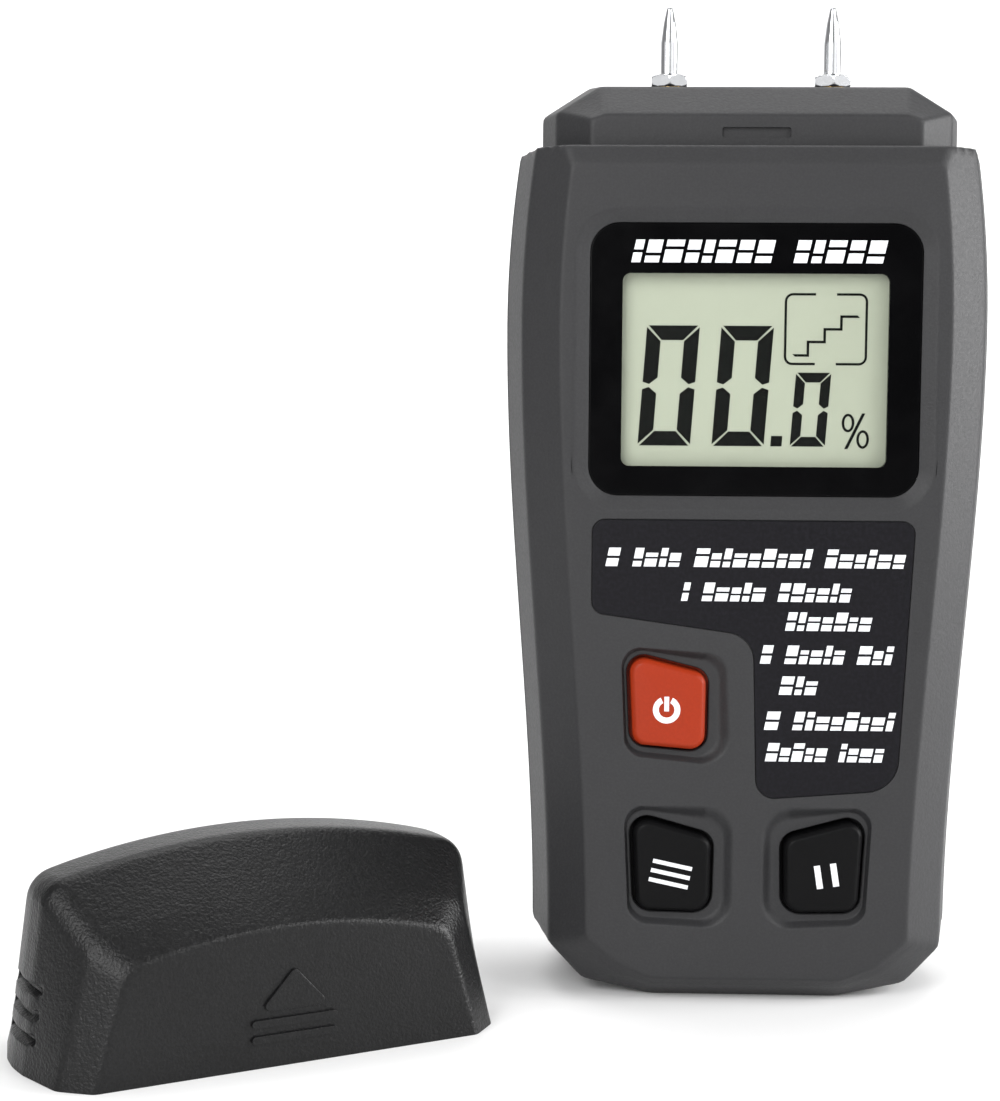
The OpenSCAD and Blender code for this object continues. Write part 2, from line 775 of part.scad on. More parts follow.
module battery_snap() color("#1d1d1f") {
    block([-battery_w / 2 + 1, bay_floor_y + 1.8, snap_low],
        [battery_w / 2 - 1, battery_back_y - 2, snap_high]);
}

module battery_pad() color("#3a3a3a") {
    block([-10, battery_back_y, battery_low + 8], [10, door_inner_y - 0.2, battery_low + 38]);
}

// ---------------------------------------------------------------- screws

// Pan-head screw with a cross slot, driven from the back at (x, z)
module screw(x, z, r, head_r, head_h, tip_y, head_y) {
    difference() {
        union() {
            rod_y(x, z, r, tip_y, head_y + eps);
            rod_y(x, z, head_r, head_y, head_y + head_h);
        }
        block([x - head_r * 0.6, head_y + head_h * 0.5, z - 0.3],
            [x + head_r * 0.6, head_y + head_h + 1, z + 0.3]);
        block([x - 0.3, head_y + head_h * 0.5, z - head_r * 0.6],
            [x + 0.3, head_y + head_h + 1, z + head_r * 0.6]);
    }
}

module case_screws() color("#8a8a8c") {
    for (x = [-1, 1], spot = [low_screw, high_screw])
        screw(x * spot.x, spot.y, case_pilot_r, case_head_r, 1.8, inner_front_y + 4, back_y - 5);
}

module board_screws() color("#a0a0a2") {
    for (x = [-1, 1], z = board_screw_zs)
        screw(x * board_screw_x, z, board_pilot_r, board_head_r, 1.2, inner_front_y + 0.5, board_back_y);
}

front_case();
rear_case();
battery_door();
protective_cap();
display_bezel();
display_lens();
lcd_glass();
lcd_frame();
upper_zebra_strip();
lower_zebra_strip();
label_panel();
power_key();
mode_key();
hold_key();
power_plunger();
mode_plunger();
hold_plunger();
switch_bodies();
main_board();
controller_chip();
crystal_can();
chip_resistors();
filter_capacitors();
pin_holder();
left_pin();
right_pin();
left_socket();
right_socket();
terminal_nuts();
left_pin_lead();
right_pin_lead();
battery();
battery_snap();
red_battery_lead();
black_battery_lead();
battery_pad();
case_screws();
board_screws();
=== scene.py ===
import json
import math

import bmesh
import bpy
import numpy as np
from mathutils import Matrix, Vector
from mathutils.geometry import tessellate_polygon

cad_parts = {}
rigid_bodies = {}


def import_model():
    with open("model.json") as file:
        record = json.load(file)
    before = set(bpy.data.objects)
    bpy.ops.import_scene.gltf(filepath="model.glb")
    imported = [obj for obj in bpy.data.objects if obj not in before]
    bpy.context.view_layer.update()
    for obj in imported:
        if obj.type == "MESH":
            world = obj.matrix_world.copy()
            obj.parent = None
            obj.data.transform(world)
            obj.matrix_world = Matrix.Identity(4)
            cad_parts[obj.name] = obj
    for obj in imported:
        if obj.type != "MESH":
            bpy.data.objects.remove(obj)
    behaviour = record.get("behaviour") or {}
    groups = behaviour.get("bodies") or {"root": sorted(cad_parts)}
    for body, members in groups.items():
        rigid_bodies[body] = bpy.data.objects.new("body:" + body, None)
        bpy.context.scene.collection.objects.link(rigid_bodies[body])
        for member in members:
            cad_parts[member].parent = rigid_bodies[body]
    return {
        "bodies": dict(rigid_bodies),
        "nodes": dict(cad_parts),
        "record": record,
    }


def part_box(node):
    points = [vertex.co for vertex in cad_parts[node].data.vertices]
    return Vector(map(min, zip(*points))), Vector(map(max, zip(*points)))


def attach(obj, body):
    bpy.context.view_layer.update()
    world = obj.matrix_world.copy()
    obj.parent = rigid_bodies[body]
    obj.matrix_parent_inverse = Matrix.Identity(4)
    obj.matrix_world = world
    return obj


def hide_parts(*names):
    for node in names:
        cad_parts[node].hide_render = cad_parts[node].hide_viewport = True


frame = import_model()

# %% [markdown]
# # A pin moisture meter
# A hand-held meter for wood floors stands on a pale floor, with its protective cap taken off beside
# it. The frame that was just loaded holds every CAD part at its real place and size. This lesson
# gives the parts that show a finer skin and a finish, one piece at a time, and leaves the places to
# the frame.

MM = 0.001
WELD = 0.002
frame_objects = set(frame["nodes"].values()) | set(frame["bodies"].values())
for leftover in [thing for thing in bpy.data.objects if thing not in frame_objects]:
    bpy.data.objects.remove(leftover)
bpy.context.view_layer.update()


def box_mm(node):
    """Lowest and highest corner of a CAD node, in millimetres."""
    return [np.array(corner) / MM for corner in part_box(node)]


front_low, front_high = box_mm("front_case")
FRONT = front_low[1]
BACK = box_mm("rear_case")[1][1]
WIDEST = front_high[0]
HEAD_TOP = front_high[2]
HEAD_H = 9.2
SHOULDER = HEAD_TOP - HEAD_H
BASE_HALF = WIDEST - 4.2
SHOULDER_HALF = WIDEST - 1.8
WIDEST_Z = 92.0
WALL = 2.0
FACE_WALL = 2.5
print("front face at", FRONT, "shoulders at", SHOULDER, "head top at", HEAD_TOP)

# %% [markdown]
# ## Lines and skins
# Moulded plastic is flat faces joined by small radii, so most pieces here are one profile carried
# round one outline. Both are plain lines: a few corners that are softened by averaging each point
# with its neighbours. A bevel modifier could round the edges too, but it gives up where three radii
# meet, and an averaged line never does.

# %% Soften a line
def resample(points, count, closed=False):
    """The same line with count points at equal steps along its length."""
    points = np.asarray(points, float)
    if closed:
        points = np.vstack([points, points[:1]])
    steps = np.linalg.norm(np.diff(points, axis=0), axis=1)
    along = np.concatenate([[0.0], np.cumsum(steps)])
    wanted = np.linspace(0, along[-1], count + 1)[:-1] if closed else np.linspace(0, along[-1], count)
    return np.stack([np.interp(wanted, along, column) for column in points.T], axis=1)


def soften(points, count, radius, closed=False):
    """The line after each point is averaged with its neighbours under a bell curve as wide as radius."""
    line = resample(points, count, closed)
    step = np.linalg.norm(line[1] - line[0])
    reach = max(1, int(round(3 * radius / step)))
    bell = np.exp(-0.5 * (np.arange(-reach, reach + 1) * step / radius) ** 2)
    bell /= bell.sum()
    if closed:
        padded = np.vstack([line[-reach:], line, line[:reach]])
    else:
        before = 2 * line[0] - line[reach:0:-1]
        after = 2 * line[-1] - line[-2:-reach - 2:-1]
        padded = np.vstack([before, line, after])
    return np.stack([np.convolve(column, bell, mode="valid") for column in padded.T], axis=1)


square = soften([(0, 0), (10, 0), (10, 10), (0, 10)], 200, 1.0, closed=True)
print("a 10 mm square softened by 1 mm is still", round(np.ptp(square[:, 0]), 2), "mm wide")


# %% Round the corners of an outline
def fillet(before, corner, after, radius, steps=8):
    """Points of the arc of that radius that touches both edges of a corner.

    Its middle lies on the line that halves the corner, radius / sin(half the angle) away from it.
    """
    u = (before - corner) / np.linalg.norm(before - corner)
    v = (after - corner) / np.linalg.norm(after - corner)
    half = math.acos(float(u @ v)) / 2
    middle = corner + (u + v) / np.linalg.norm(u + v) * radius / math.sin(half)
    first = corner + u * radius / math.tan(half) - middle
    last = corner + v * radius / math.tan(half) - middle
    start = math.atan2(first[1], first[0])
    turn = (math.atan2(last[1], last[0]) - start + 3 * math.pi) % (2 * math.pi) - math.pi
    angle = start + turn * np.linspace(0, 1, steps)
    return middle + radius * np.stack([np.cos(angle), np.sin(angle)], axis=1)


def rounded(corners, steps=8):
    """Closed outline through corners given as (x, z, radius), each one turned into an arc."""
    corners = np.asarray(corners, float)
    spots = corners[:, :2]
    arcs = [
        fillet(spots[i - 1], spots[i], spots[(i + 1) % len(spots)], corners[i, 2], steps)
        for i in range(len(spots))
    ]
    return np.vstack(arcs)


def grown(corners, grow):
    """Corners of the clockwise outline after every edge has moved out by grow.

    A corner moves by the sum of its two outward normals times grow / (1 + their dot product).
    """
    corners = np.asarray(corners, float)
    spots = corners[:, :2]
    edge = np.roll(spots, -1, axis=0) - spots
    outward = np.stack([-edge[:, 1], edge[:, 0]], axis=1)
    outward /= np.linalg.norm(outward, axis=1, keepdims=True)
    before = np.roll(outward, 1, axis=0)
    share = 1 + np.sum(before * outward, axis=1, keepdims=True)
    moved = spots + (before + outward) * grow / share
    return np.column_stack([moved, corners[:, 2] + grow])


def box_corners(x0, z0, x1, z1, radius):
    """Corners of an upright rectangle, clockwise from its top left."""
    return [(x0, z1, radius), (x1, z1, radius), (x1, z0, radius), (x0, z0, radius)]


def at_depth(outline, y):
    """An outline in X and Z set at depth y, as points in space."""
    return np.column_stack([outline[:, 0], np.full(len(outline), y), outline[:, 1]])


print("a rounded box has", len(rounded(box_corners(0, 0, 10, 10, 2))), "points")

# %% [markdown]
# A skin collects grids and flat caps. A grid joins a stack of rings, each with as many points, by
# four-sided faces. A cap fills one flat loop and leaves its holes open. The points of touching
# pieces are merged afterwards, and Blender turns all faces outwards, which works because every
# piece here is a closed body.

# %% Build meshes from grids and caps
class Skin:
    """Faces of one piece, in millimetres."""

    def __init__(self):
        self.points, self.faces, self.total = [], [], 0

    def _add(self, points, faces):
        self.points.append(np.asarray(points, float).reshape(-1, 3))
        self.faces += (np.asarray(faces) + self.total).tolist()
        self.total += len(self.points[-1])

    def grid(self, rings, closed=True, wrap=False):
        """Quads between neighbouring rings; closed joins each ring's ends, wrap joins last to first."""
        rings = np.asarray(rings, float)
        rows, columns = rings.shape[:2]
        row = np.arange(rows if wrap else rows - 1)[:, None]
        column = np.arange(columns if closed else columns - 1)[None, :]
        below, right = (row + 1) % rows, (column + 1) % columns
        corners = np.broadcast_arrays(
            row * columns + column, row * columns + right,
            below * columns + right, below * columns + column,
        )
        self._add(rings, np.stack(corners, axis=-1).reshape(-1, 4))
        return self

    def cap(self, *loops):
        """Triangles that fill the first flat loop outside the other loops."""
        parts = [[Vector(point) for point in loop] for loop in loops]
        self._add(np.vstack(loops), tessellate_polygon(parts))
        return self

    def build(self, name, crease=35):
        """The Blender object: merged points, faces outwards, smooth but for edges sharper than crease."""
        mesh = bpy.data.meshes.new(name)
        mesh.from_pydata((np.vstack(self.points) * MM).tolist(), [], self.faces)
        work = bmesh.new()
        work.from_mesh(mesh)
        bmesh.ops.remove_doubles(work, verts=work.verts, dist=WELD * MM)
        bmesh.ops.recalc_face_normals(work, faces=work.faces)
        work.to_mesh(mesh)
        work.free()
        mesh.shade_smooth()
        mesh.set_sharp_from_angle(angle=math.radians(crease))
        piece = bpy.data.objects.new(name, mesh)
        bpy.context.scene.collection.objects.link(piece)
        return piece


def even_shading(piece):
    """Large flat faces set the shading at their rims, so that only the radii catch the light."""
    weights = piece.modifiers.new("even shading", "WEIGHTED_NORMAL")
    weights.keep_sharp = True


def combine(piece, operation, *tools, crease=35):
    """The piece joined with each tool (UNION), less it (DIFFERENCE) or kept inside it (INTERSECT)."""
    for tool in tools:
        step = piece.modifiers.new("combine", "BOOLEAN")
        step.object = tool
        step.operation = operation
        step.solver = "MANIFOLD"
        done = piece.evaluated_get(bpy.context.evaluated_depsgraph_get())
        mesh = bpy.data.meshes.new_from_object(done)
        piece.modifiers.clear()
        piece.data = mesh
        bpy.data.objects.remove(tool)
    piece.data.shade_smooth()
    piece.data.set_sharp_from_angle(angle=math.radians(crease))
    return piece


def place(piece, body, material, replaces=()):
    """Give the piece its finish, its body and the CAD nodes that it stands for."""
    piece.data.materials.clear()
    piece.data.materials.append(material)
    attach(piece, body)
    if replaces:
        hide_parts(*replaces)
    print(piece.name, len(piece.data.polygons), "faces on", body)


# %% [markdown]
# ## Shader arithmetic
# A finish is a formula on a point of the surface. The small class below wraps one shader value, so
# that `a * 2 + 1` adds the two Math nodes, and any other node comes from one method that takes its
# type, its settings and its inputs.

# %% Write shaders as expressions
class Value:
    """One output of a shader node, with arithmetic."""

    def __init__(self, tree, socket):
        self.tree, self.socket = tree, socket

    def node(self, kind, settings=None, inputs=None, output=0):
        """A new node of that kind: settings first, then values or links for its sockets."""
        node = self.tree.nodes.new(kind)
        for key, value in (settings or {}).items():
            if key == "stops":
                ramp = node.color_ramp.elements
                while len(ramp) < len(value):
                    ramp.new(0.5)
                for stop, (position, colour) in zip(ramp, value):
                    stop.position, stop.color = position, colour
            else:
                setattr(node, key, value)
        for key, value in (inputs or {}).items():
            if isinstance(value, Value):
                self.tree.links.new(value.socket, node.inputs[key])
            else:
                node.inputs[key].default_value = value
        return Value(self.tree, node.outputs[output])

    def math(self, operation, other=0.0, first=None):
        """A Math node on this value, or on first where that is given, and another."""
        first = self if first is None else first
        return self.node("ShaderNodeMath", {"operation": operation}, {0: first, 1: other})

    def __add__(self, other):
        return self.math("ADD", other)

    def __sub__(self, other):
        return self.math("SUBTRACT", other)

    def __mul__(self, other):
        return self.math("MULTIPLY", other)

    def __rsub__(self, other):
        return self.math("SUBTRACT", self, other)

    __radd__, __rmul__ = __add__, __mul__

    def noise(self, size_mm, detail=2.0):
        """Soft random values from 0 to 1 in blotches of about size_mm."""
        inputs = {"Vector": self, "Scale": 1 / (size_mm * MM), "Detail": detail}
        return self.node("ShaderNodeTexNoise", {"noise_dimensions": "3D"}, inputs)

    def cells(self, size_mm):
        """Distance to the nearest of random seeds about size_mm apart, in seed spacings."""
        return self.node("ShaderNodeTexVoronoi", {}, {"Vector": self, "Scale": 1 / (size_mm * MM)})

    def between(self, low, high):
        """0 below low, 1 above high and a smooth step between."""
        inputs = {"Value": self, "From Min": low, "From Max": high}
        return self.node("ShaderNodeMapRange", {"interpolation_type": "SMOOTHSTEP"}, inputs)

    def mix(self, dark, light):
        """Colour from dark to light by this value."""
        sockets = {0: self, 6: (*dark, 1.0), 7: (*light, 1.0)}
        return self.node("ShaderNodeMix", {"data_type": "RGBA"}, sockets, 2)

    def bump(self, height_mm):
        """Surface normal of this value as a height, where 1 stands for height_mm."""
        inputs = {"Height": self, "Distance": height_mm * MM, "Strength": 1.0}
        return self.node("ShaderNodeBump", {}, inputs)


def finish(name, recipe, **constants):
    """A material: constants are set on the shader, recipe(point) gives what varies over the surface."""
    material = bpy.data.materials.new(name)
    material.use_nodes = True
    tree = material.node_tree
    shader = tree.nodes["Principled BSDF"]
    for key, value in constants.items():
        shader.inputs[key.replace("_", " ")].default_value = value
    point = Value(tree, tree.nodes.new("ShaderNodeTexCoord").outputs["Object"])
    for key, value in recipe(point).items():
        tree.links.new(value.socket, shader.inputs[key])
    return material


def shade(colour, factor):
    """A colour made lighter or darker by a factor."""
    return tuple(min(1.0, channel * factor) for channel in colour)


print("a grey of 0.02 made a tenth lighter:", shade((0.02, 0.02, 0.02), 1.1))

# %% [markdown]
# ## Finishes
# The case is ABS moulded in a spark-eroded tool, so it has a fine even grain that breaks up every
# highlight. The cap has a leather-like grain, three times as deep, and is nearly black. Keys are
# smoother, the bezel is glossy print, and the pins are polished and plated. A dark plastic in a
# pale room goes grey from its reflections alone, so the dark finishes have a low specular level.

# %% Moulded plastics
def grained(name, colour, grain_mm, depth_mm, rough, swing=0.12, shine=0.5):
    """Moulded plastic: two sizes of grain in the bump, blotches and specks in the colour.

    The colour swings by the share swing about its mean, the roughness by 0.09 about rough with the
    fine grain, and shine is the specular level.
    """
    def recipe(point):
        fine = point.noise(grain_mm, 2)
        coarse = point.noise(grain_mm * 3.1, 2)
        blotch = point.noise(9, 3)
        speck = point.noise(grain_mm * 0.8, 1).between(0.35, 0.7)
        tone = blotch * 0.5 + speck * 0.5
        return {
            "Base Color": tone.mix(shade(colour, 1 - swing), shade(colour, 1 + swing)),
            "Roughness": fine * 0.18 + (rough - 0.09),
            "Normal": (fine * 0.65 + coarse * 0.35).bump(depth_mm),
        }
    return finish(name, recipe, Specular_IOR_Level=shine)


CASE_GREY = (0.024, 0.024, 0.0255)
CAP_BLACK = (0.0048, 0.0048, 0.0051)
KEY_ORANGE = (0.29, 0.024, 0.004)
KEY_BLACK = (0.0025, 0.0025, 0.0028)
materials = {
    "case_plastic": grained("case plastic", CASE_GREY, 0.42, 0.05, 0.50, swing=0.14, shine=0.3),
    "cap_plastic": grained("cap plastic", CAP_BLACK, 0.38, 0.15, 0.36, swing=0.7, shine=0.27),
    "orange_key": grained("orange key plastic", KEY_ORANGE, 0.5, 0.008, 0.42, swing=0.07, shine=0.2),
    "black_key": grained("black key plastic", KEY_BLACK, 0.5, 0.010, 0.44, swing=0.15, shine=0.1),
    "white_plastic": grained("natural nylon", (0.70, 0.69, 0.64), 0.5, 0.012, 0.45, swing=0.04),
    "plunger_plastic": grained("plunger plastic", (0.03, 0.03, 0.03), 0.4, 0.01, 0.4),
    "switch_plastic": grained("switch plastic", (0.06, 0.06, 0.06), 0.4, 0.01, 0.5),
    "chip_plastic": grained("moulded epoxy", (0.012, 0.012, 0.013), 0.25, 0.012, 0.55),
    "capacitor_sleeve": grained("capacitor sleeve", (0.03, 0.05, 0.16), 1.2, 0.008, 0.3),
    "blue_wire": grained("blue insulation", (0.03, 0.11, 0.40), 0.6, 0.006, 0.35),
    "red_wire": grained("red insulation", (0.50, 0.02, 0.012), 0.6, 0.006, 0.35),
    "black_wire": grained("black insulation", (0.010, 0.010, 0.010), 0.6, 0.006, 0.35),
    "strip_rubber": grained("conductive rubber", (0.55, 0.50, 0.42), 0.3, 0.01, 0.6),
}
print(len(materials), "moulded finishes")


# %% [markdown]
# The other surfaces each get a recipe of their own, because what breaks them up differs: wiping marks
# in gloss print, specks in film, the tooth of a polariser, woven glass under lacquer, open cells in
# foam. A recipe returns only what changes over the surface.

# %% Print, display, film and foam
def print_black(point):
    """Gloss black: hardly any colour, and faint wiping marks in the gloss."""
    smear = point.noise(6, 4)
    return {"Base Color": smear.mix((0.0005, 0.0005, 0.0007), (0.0010, 0.0010, 0.0013)),
            "Roughness": smear.between(0.3, 0.8) * 0.10 + 0.16}


def label_ink(point):
    """Black film with a blue cast, a fine speckle and a matt surface."""
    speck = point.noise(0.5, 2).between(0.35, 0.75)
    return {"Base Color": speck.mix((0.0035, 0.0033, 0.0048), (0.0065, 0.006, 0.0088)),
            "Roughness": speck * 0.1 + 0.42,
            "Normal": point.noise(0.35, 1).bump(0.01)}


def white_ink(point):
    """Screen-printed white, thinner in places."""
    thin = point.noise(0.7, 3).between(0.25, 0.75)
    return {"Base Color": thin.mix((0.66, 0.67, 0.70), (0.86, 0.87, 0.90)),
            "Roughness": thin * 0.1 + 0.45}


def liquid_crystal(point):
    """Reflective display: grey-green, a little uneven, with the fine tooth of its polariser."""
    drift = point.noise(22, 2)
    tooth = point.noise(0.12, 1)
    return {"Base Color": (drift * 0.7 + tooth * 0.3).mix((0.345, 0.38, 0.285), (0.405, 0.44, 0.345)),
            "Roughness": tooth * 0.12 + 0.40}


def dark_crystal(point):
    """A switched-on segment: almost black, slightly green."""
    return {"Base Color": point.noise(0.4, 2).mix((0.001, 0.0015, 0.001), (0.003, 0.004, 0.003)),
            "Roughness": point.noise(0.2, 1) * 0.1 + 0.4}


def clear_pane(point):
    """A clear pane: nearly invisible except for its gloss."""
    return {"Roughness": point.noise(8, 3) * 0.06 + 0.06,
            "Base Color": point.noise(15, 2).mix((0.02, 0.022, 0.02), (0.03, 0.032, 0.03))}


def laminate(point):
    """Green board: the woven glass shows through the lacquer as a faint grid."""
    grid = point.node("ShaderNodeTexBrick", {"offset": 0.5}, {"Vector": point, "Scale": 900.0}, 1)
    tone = point.noise(3, 3) * 0.6 + grid * 0.4
    return {"Base Color": tone.mix((0.012, 0.11, 0.035), (0.03, 0.21, 0.07)),
            "Roughness": point.noise(0.6, 2) * 0.15 + 0.25,
            "Normal": grid.bump(0.01)}


def foam_cells(point):
    """Open foam: round cells that dip into the surface, with painted shade that darkens the bottom of each
    dip.
    """
    cell = point.cells(0.7).between(0.1, 0.7)
    # Painted shade: the colour runs from dark at the bottom of each cell's dip to lighter at its rim.
    return {"Base Color": cell.mix((0.012, 0.012, 0.012), (0.05, 0.05, 0.05)),
            "Roughness": cell * 0.1 + 0.8, "Normal": cell.bump(0.2)}


def jacket(point):
    """Printed battery jacket: lacquered metal in blue-grey with a slight ripple."""
    tone = point.noise(5, 3)
    return {"Base Color": tone.mix((0.045, 0.06, 0.085), (0.07, 0.09, 0.12)),
            "Roughness": tone * 0.1 + 0.22, "Normal": point.noise(2.5, 2).bump(0.02)}


materials.update({
    "bezel_plastic": finish("bezel print", print_black, Specular_IOR_Level=0.08),
    "label_film": finish("label film", label_ink, Specular_IOR_Level=0.15),
    "white_print": finish("white ink", white_ink),
    "lcd_glass": finish("liquid crystal", liquid_crystal),
    "lcd_segment": finish("dark crystal", dark_crystal, Specular_IOR_Level=0.1),
    "clear_plastic": finish("clear pane", clear_pane, Alpha=0.03),
    "board_laminate": finish("board laminate", laminate),
    "foam": finish("foam", foam_cells),
    "battery_jacket": finish("battery jacket", jacket),
})
print(len(materials), "finishes with print, display, film and foam")


# %% [markdown]
# Metals differ in colour, in gloss and in how they were made. Turned ones carry fine lines round their
# length; all have blotches where the plating or the handling changes the gloss.

# %% Metals
def metal(name, colour, rough, turned=0.0):
    """Metal: blotchy gloss, fine scratches, and turning lines round Z when turned is above 0."""
    def recipe(point):
        blotch = point.noise(1.5, 3)
        lines = point.node("ShaderNodeTexWave", {"bands_direction": "Z"},
                           {"Vector": point, "Scale": 900.0, "Distortion": 1.0}, 1)
        return {
            "Base Color": blotch.mix(shade(colour, 0.88), shade(colour, 1.06)),
            "Roughness": blotch * 0.12 + (rough - 0.06),
            "Normal": (lines * turned + point.noise(0.2, 2) * 0.3).bump(0.004),
        }
    return finish(name, recipe, Metallic=1.0)


materials.update({
    "chrome_pin": metal("plated steel", (0.66, 0.67, 0.69), 0.13, 0.5),
    "brass": metal("turned brass", (0.62, 0.42, 0.14), 0.25, 1.0),
    "steel": metal("zinc plated steel", (0.55, 0.55, 0.57), 0.3, 0.3),
    "screw_steel": metal("dark screw steel", (0.30, 0.30, 0.31), 0.34, 0.6),
    "can_metal": metal("drawn can", (0.62, 0.62, 0.62), 0.28),
})
for entry in frame["record"]["subparts"]:
    part = frame["nodes"][entry["node"]]
    if not part.material_slots:
        part.data.materials.append(None)
    for slot in part.material_slots:
        slot.material = materials[entry["material_slot"]]
print(len(materials), "finishes in all, and one on each CAD part")

# %% [markdown]
# ## The case halves
# The meter is two mouldings that meet in the middle: a front shell with the openings and a rear
# shell with the battery bay. Seen from the front the case is a soft barrel, nearly straight from
# the foot, widest by the display, and in again at the shoulders. Every ring of the shell is that
# outline at another inset, foot height, shoulder height and depth, so the whole shape is one table
# of those four numbers, softened as if it were a line. A box with bevels would need each of the
# curved strips to be placed by hand.

# %% Barrel outline and shell rings
FOOT_CORNER, FOOT_KNEE, FOOT_FLAT, KNEE_IN = 7.8, 2.0, 13.0, 5.0
FACE_INSET, BAND_INSET, OUTER_INSET = 7.5, 6.11, 2.3
HALF_DEPTH = (BACK - FRONT) / 2
PARTING_GROOVE = 0.3


def side_x(z):
    """Half width at height z: an S-curve up to the widest place, then a parabola down to the shoulder."""
    rise = np.clip((z - FOOT_CORNER) / (WIDEST_Z - FOOT_CORNER), 0, 1)
    low = BASE_HALF + (WIDEST - BASE_HALF) * rise * rise * (3 - 2 * rise)
    high = WIDEST - (WIDEST - SHOULDER_HALF) * ((z - WIDEST_Z) / (SHOULDER - WIDEST_Z)) ** 2
    return np.where(z < WIDEST_Z, low, high)


def case_outline(inset, low, high, count=400):
    """Closed outline: flat foot, knee, barrel side pulled in by inset and straight top, mirrored."""
    foot_z = low + FOOT_CORNER - 0.3 * inset
    knee_x = BASE_HALF - KNEE_IN - 0.9 * inset
    side_z = np.linspace(foot_z, high, 60)
    foot = [(0.0, low), (min(FOOT_FLAT, knee_x - 3), low), (knee_x, low + FOOT_KNEE)]
    half = np.vstack([foot, np.column_stack([side_x(side_z) - inset, side_z]), [(0.0, high)]])
    whole = np.vstack([half, half[-2:0:-1] * [-1, 1]])
    return soften(whole, count, 0.5, closed=True)


def shell_rings(table, side):
    """Rings for rows of (inset, foot, shoulder, depth); side is -1 in front and 1 at the back."""
    return [at_depth(case_outline(*row[:3]), side * (HALF_DEPTH - row[3])) for row in table]


outer_table = soften([
    (FACE_INSET + 1.2, 4.7, SHOULDER - 3.8, 0),
    (FACE_INSET, 3.5, SHOULDER - 2.6, 0),
    (BAND_INSET, 2.3, SHOULDER, 1.2),
    (OUTER_INSET, 0, SHOULDER, 4.5),
    (0, 0, SHOULDER, HALF_DEPTH),
], 64, 0.38)
groove_rows = [
    (0.0, 0.0, SHOULDER, HALF_DEPTH - 0.35),
    (PARTING_GROOVE, PARTING_GROOVE, SHOULDER - PARTING_GROOVE, HALF_DEPTH),
]
outer_table = np.vstack([outer_table[outer_table[:, 3] < HALF_DEPTH - 0.6], groove_rows])
inner_table = [
    (WALL, WALL, SHOULDER - WALL, HALF_DEPTH),
    (OUTER_INSET + WALL, WALL, SHOULDER - WALL, 4.9),
    (BAND_INSET + 1.6, 4.3, SHOULDER - WALL, FACE_WALL + 0.3),
    (FACE_INSET + 1.6, 5.5, SHOULDER - 4.6, FACE_WALL),
]
print("shell rows", len(outer_table), "+", len(inner_table))

# %% [markdown]
# ## Front case
# The face has a sunk window for the display, three dishes with a key hole each, and a shallow
# pocket for the label. Each of them is a stack of rings that starts as a flat strip on the face,
# rolls over the edge and goes down. The strip matters: it lets the shading of the large flat face
# run straight into the radius, with no dark smear.

# %% Openings in the face
# VIEW and BEZEL are (half width, low, high, corner radius); adding GROW grows one by 1 mm all round.
# The other outlines are clockwise corners (x, z, corner radius).
VIEW = np.array([17.7, 73.4, 99.1, 1.1])
BEZEL = np.array([22.0, 69.5, 105.7, 3.9])
GROW = np.array([1.0, -1.0, 1.0, 1.0])
BEZEL_SUNK, LEDGE_D = 0.8, 1.6
KEY_GAP, DISH_D, LABEL_T, LABEL_FIT = 0.55, 1.1, 0.35, 0.1
POWER = [(-16.3, 48, 1.9), (-5.9, 45.4, 1.9), (-6, 35, 2.0), (-15.7, 35.8, 1.9)]
POWER_DISH = [(-17.5, 49.2, 2.6), (-2.9, 48.3, 3), (-2.1, 32.6, 4), (-16.8, 34.1, 2.6)]
MODE = [(-15.7, 26, 2.0), (-4.9, 23, 2.0), (-5.1, 12.8, 2.3), (-15, 13, 2.1)]
MODE_DISH = [(-16.9, 27.4, 2.6), (-1.8, 27.6, 4), (-1.7, 10.2, 4), (-16.1, 11, 2.6)]
LABEL = [
    (-21.5, 66.3, 1.8), (21.8, 66.3, 1.8), (20, 29.8, 4.5),
    (1, 28.3, 2.6), (0.3, 50.6, 4), (-21.5, 53.6, 1.8),
]
CORNER_STEPS = 14


def mirror(corners):
    """Corners of the same outline on the other side, still clockwise."""
    return [(-x, z, r) for x, z, r in (corners[1], corners[0], corners[3], corners[2])]


def plate_ring(half, low, high, radius, y):
    """Rounded rectangle about the middle line, at depth y."""
    return at_depth(rounded(box_corners(-half, low, half, high, radius), CORNER_STEPS), y)


def window_rings():
    """From the face down a sloping rim, a straight wall, the ledge under the bezel and the opening."""
    rim = soften([
        (*(BEZEL + 2.35 * GROW), FRONT),
        (*(BEZEL + 2.0 * GROW), FRONT),
        (*(BEZEL + 0.3 * GROW), FRONT + BEZEL_SUNK - 0.1),
        (*(BEZEL + 0.1 * GROW), FRONT + BEZEL_SUNK),
    ], 22, 0.3)
    ledge = [
        (*(BEZEL + 0.15 * GROW), FRONT + LEDGE_D),
        (*(VIEW + 0.8 * GROW), FRONT + LEDGE_D),
        (*(VIEW + 0.8 * GROW), FRONT + FACE_WALL),
    ]
    return [plate_ring(*row) for row in np.vstack([rim, ledge])]


def dish_rings(dish, key, roll=0.12):
    """Rings that blend from the dish edge to the key hole while the depth follows an S-curve."""
    edge = rounded(grown(dish, 0.0), CORNER_STEPS)
    strip = rounded(grown(dish, 0.3), CORNER_STEPS)
    hole = rounded(grown(key, KEY_GAP), CORNER_STEPS)
    share = np.linspace(0, 1, 24)
    slope = np.clip(share / 0.62, 0, 1)
    depth = DISH_D * slope * slope * (3 - 2 * slope)
    rings = [at_depth(strip, FRONT)]
    rings += [at_depth(edge * (1 - s) + hole * s, FRONT + d) for s, d in zip(share, depth)]
    wall = rounded(grown(key, KEY_GAP - roll), CORNER_STEPS)
    return rings + [at_depth(wall, FRONT + DISH_D + roll), at_depth(wall, FRONT + FACE_WALL)]


